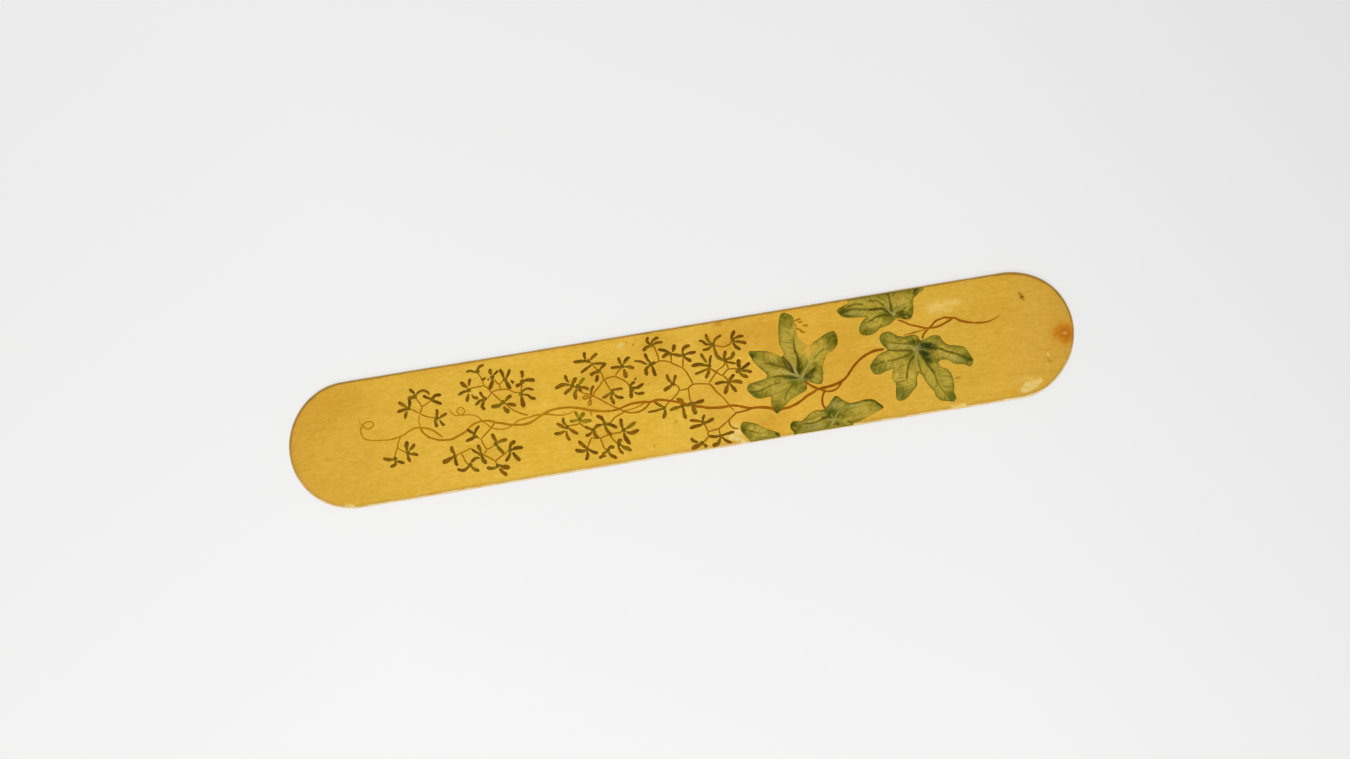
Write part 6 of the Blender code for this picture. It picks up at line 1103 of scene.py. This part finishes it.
def leaf_tone(kind, x, y, outline_points, ribs, heart):
    """Watercolour: a thin olive wash, fine side strokes, then the touches and brushed marks of each leaf."""
    rim = to_line(x, y, np.vstack([outline_points, outline_points[:1]]))[0]
    best, s, side, which = np.full(len(x), 1e9), np.zeros(len(x)), np.ones(len(x)), np.zeros(len(x), int)
    length = np.ones(len(x))
    for k, rib in enumerate(ribs):
        line = curve_through(rib, 5)
        d, along, sd = to_line(x, y, line)
        near = d < best
        total = float(np.hypot(*np.diff(line, axis=0).T).sum())
        best, s, side, which = np.where(near, d, best), np.where(near, along, s), np.where(near, sd, side), np.where(near, k, which)
        length = np.where(near, total, length)
    wash = layered(x / 2.2, y / 2.2, 111, 3)
    fine = layered(x / 0.55, y / 0.55, 113, 2)
    # Fine strokes that leave the rib at a slant, never quite evenly spaced.
    across = s * length - best * 0.8 + 0.20 * wash
    strokes = noise(across / 0.55 + 17 * which, best / 2.6 + 5 * side, 117)
    broad = noise(across / 1.5 + 11 * which, best / 3.5 + 3 * side, 118)
    pale = 0.70 * step(0.2, 1.5, rim) * step(0.10, 0.40, s) * step(1.02, 0.62, s) + 0.35 * wash + 0.20 * broad
    c = blend(np.broadcast_to(LEAF_GREEN, (len(x), 3)), LEAF_PALE, np.clip(pale, 0, 1))
    c = blend(c, LEAF_EDGE, 0.45 * step(1.0, 0.1, rim + 0.4 * wash))
    c = blend(c, LEAF_EDGE, 0.55 * step(0.72, 1.0, s + 0.07 * wash) * step(3.0, 0.6, rim))
    for px, py, rx, ry, turn, colour, strength in TOUCHES[kind]:
        a = math.radians(turn)
        u, v = (x - px) * math.cos(a) + (y - py) * math.sin(a), -(x - px) * math.sin(a) + (y - py) * math.cos(a)
        d = np.hypot(u / rx, v / ry) + 0.22 * wash + 0.10 * fine
        c = touch(c, x, y, colour, strength * step(1.45, 0.30, d))
    veined = step(0.10, 0.5, best) * step(0.05, 0.35, rim)
    c = blend(c, linear(PIGMENTS["dark"]), 0.34 * np.clip(strokes * 1.6 - 0.2, 0, 1) * veined)
    c = blend(c, linear(PIGMENTS["straw"]), 0.30 * np.clip(-strokes * 1.6 - 0.2, 0, 1) * veined)
    for points, start, end, colour, strength in MARKS[kind]:
        d, along, _ = to_line(x, y, curve_through(points, 4) if len(points) > 2 else np.array(points, float))
        half = (start + (end - start) * along) * (1 + 0.25 * noise(x / 0.8, y / 0.8, 119))
        c = touch(c, x, y, colour, strength * step(1.75, 0.45, d / half) * (0.88 + 0.2 * fine))
    # A thin darker line around, uneven and in places missing.
    broken = np.clip(0.70 + 0.9 * layered(x / 1.8, y / 1.8, 127, 2), 0, 1)
    hidden = np.ones(len(x))
    for px, py, rx, ry, turn, colour, strength in TOUCHES[kind]:
        if colour == "wood":
            hidden = hidden * (1 - strength * step(1.5, 0.7, np.hypot((x - px) / rx, (y - py) / ry)))
    c = blend(c, LEAF_LINE, 0.78 * broken * hidden * step(0.38, 0.12, rim))
    c = c * (1 + 0.09 * fine + 0.05 * wash)[:, None]
    # Bleeds into the wood at the very rim.
    c = blend(c, clean_wood(x, y), 0.35 * step(0.12, 0.0, rim))
    return c


def make_leaves():
    for kind, (node, outer, ribs, heart) in LEAVES.items():
        loop = curve_through(outer, 6, closed=True)
        loop = even(loop, 0.22, closed=True)
        wob = 0.09 * layered(loop[:, 0] / 0.8, loop[:, 1] / 0.8, 121, 2)
        along = np.roll(loop, -1, axis=0) - np.roll(loop, 1, axis=0)
        along /= np.hypot(*along.T)[:, None]
        loop = loop + np.column_stack([-along[:, 1], along[:, 0]]) * wob[:, None]
        # A leaf that the slat's edge cuts off runs onto the rounding and stops there.
        edge = half_width(loop[:, 0]) - 0.12
        cut = np.abs(loop[:, 1]) > 16.95
        if kind in ("top", "bottom", "small"):
            loop[cut, 1] = np.sign(loop[cut, 1]) * edge[cut]
            loop = even(loop, 0.22, closed=True)
        if np.sum(loop[:, 0] * np.roll(loop[:, 1], -1) - np.roll(loop[:, 0], -1) * loop[:, 1]) < 0:
            loop = loop[::-1]
        xy, tri = filled([loop], 0.18, 0.2, 9)
        x, y = xy.T
        rim = to_line(x, y, np.vstack([loop, loop[:1]]))[0]
        lift = 0.006 + 0.040 * step(0.0, 0.32, rim) + 0.004 * layered(x / 0.9, y / 0.9, 131)
        verts, faces = closed_film(xy, tri, lift)
        tone = leaf_tone(kind, x, y, loop, ribs, heart)
        build = Build()
        build.add(verts, faces, np.vstack([tone, tone]))
        if kind == "middle":
            for k, (centre, size, turn) in enumerate(LOOSE_STROKES):
                a = math.radians(turn)
                d = np.array([math.cos(a), math.sin(a)]) * size / 2
                add_dab(build, [np.array(centre) - d * 1.15, np.array(centre) + d * 1.15], 0.30, 700 + k, linear((146, 92, 4)), linear((146, 108, 14)), 0.7, 0.02, 0.22)
        slot = "leaf_" + kind + "_paint"
        done(build.piece("leaf_" + kind, paint_material(slot, (0.5, 0.5), 0.09, 0.45, 0.02)), node)


# ---------------------------------------------------------------- stage
def make_floor():
    mesh = bpy.data.meshes.new("paper_floor")
    size = 3.0
    mesh.from_pydata([(-size, -size, -0.00005), (size, -size, -0.00005), (size, size, -0.00005), (-size, size, -0.00005)], [], [(0, 1, 2, 3)])
    floor = bpy.data.objects.new("paper_floor", mesh)
    bpy.context.scene.collection.objects.link(floor)
    n = Nodes("pale_floor")
    n.shader.inputs["Base Color"].default_value = (0.20, 0.20, 0.20, 1.0)
    # The sheet glows on its own as if lit from behind: its emission is painted light, brightest left of the middle and
    # towards the lower side of the picture.
    split = n.new("ShaderNodeSeparateXYZ")
    n.link(n.place, split.inputs["Vector"])
    along = n.span(split.outputs["Y"], -0.12, 0.12, 0.712, 0.640)
    left = n.span(split.outputs["X"], -0.20, -0.09, -0.020, 0.0)
    middle = n.span(split.outputs["X"], -0.09, 0.08, 0.010, -0.022)
    right = n.span(split.outputs["X"], 0.08, 0.20, 0.0, -0.064)
    glow = n.maths("ADD", n.maths("ADD", along, left), n.maths("ADD", middle, right))
    n.shader.inputs["Emission Color"].default_value = (1.0, 1.0, 0.998, 1.0)
    n.link(glow, n.shader.inputs["Emission Strength"])
    n.shader.inputs["Roughness"].default_value = 0.9
    n.shader.inputs["Specular IOR Level"].default_value = 0.1
    mesh.materials.append(n.material)


# The view is straight down, with the slat turned 9.4 degrees.
TILT = math.radians(-9.407)
VIEW_RIGHT = Vector((math.cos(TILT), math.sin(TILT), 0))
VIEW_UP = Vector((-math.sin(TILT), math.cos(TILT), 0))
VIEW_CENTRE = (Vector((-1.23, 3.08, 0)) + VIEW_UP * 0.15 - VIEW_RIGHT * 0.10) * MM
FRAME_WIDTH = 373.9 * MM
LENS = 85.0


def make_camera():
    data = bpy.data.cameras.new("camera")
    data.lens = LENS
    data.sensor_width = 36.0
    data.clip_start = 0.01
    data.clip_end = 20
    camera = bpy.data.objects.new("camera", data)
    bpy.context.scene.collection.objects.link(camera)
    distance = FRAME_WIDTH * LENS / 36.0
    camera.location = VIEW_CENTRE + Vector((0, 0, TOP * MM + distance))
    camera.rotation_euler = (0, 0, TILT)
    bpy.context.scene.camera = camera


def area_light(name, right, up, high, size, watts, colour=(1, 1, 1)):
    data = bpy.data.lights.new(name, "AREA")
    data.shape = "DISK"
    data.size = size
    data.energy = watts
    data.color = colour
    light = bpy.data.objects.new(name, data)
    light.location = VIEW_RIGHT * right + VIEW_UP * up + Vector((0, 0, high))
    light.rotation_euler = (-light.location).to_track_quat("-Z", "Y").to_euler()
    bpy.context.scene.collection.objects.link(light)


def make_lights():
    world = bpy.data.worlds.new("studio")
    world.use_nodes = True
    background = world.node_tree.nodes["Background"]
    background.inputs["Color"].default_value = (1.0, 1.0, 1.0, 1.0)
    background.inputs["Strength"].default_value = 0.67
    bpy.context.scene.world = world
    area_light("key", -0.04, -0.60, 1.20, 0.7, 7.3)
    view = bpy.context.scene.view_settings
    view.view_transform = "Standard"
    view.look = "None"
    view.exposure = 0.0
    view.gamma = 1.0


make_camera()
make_lights()
make_floor()
make_blade()
make_lines()
make_leaves()
make_sprays()
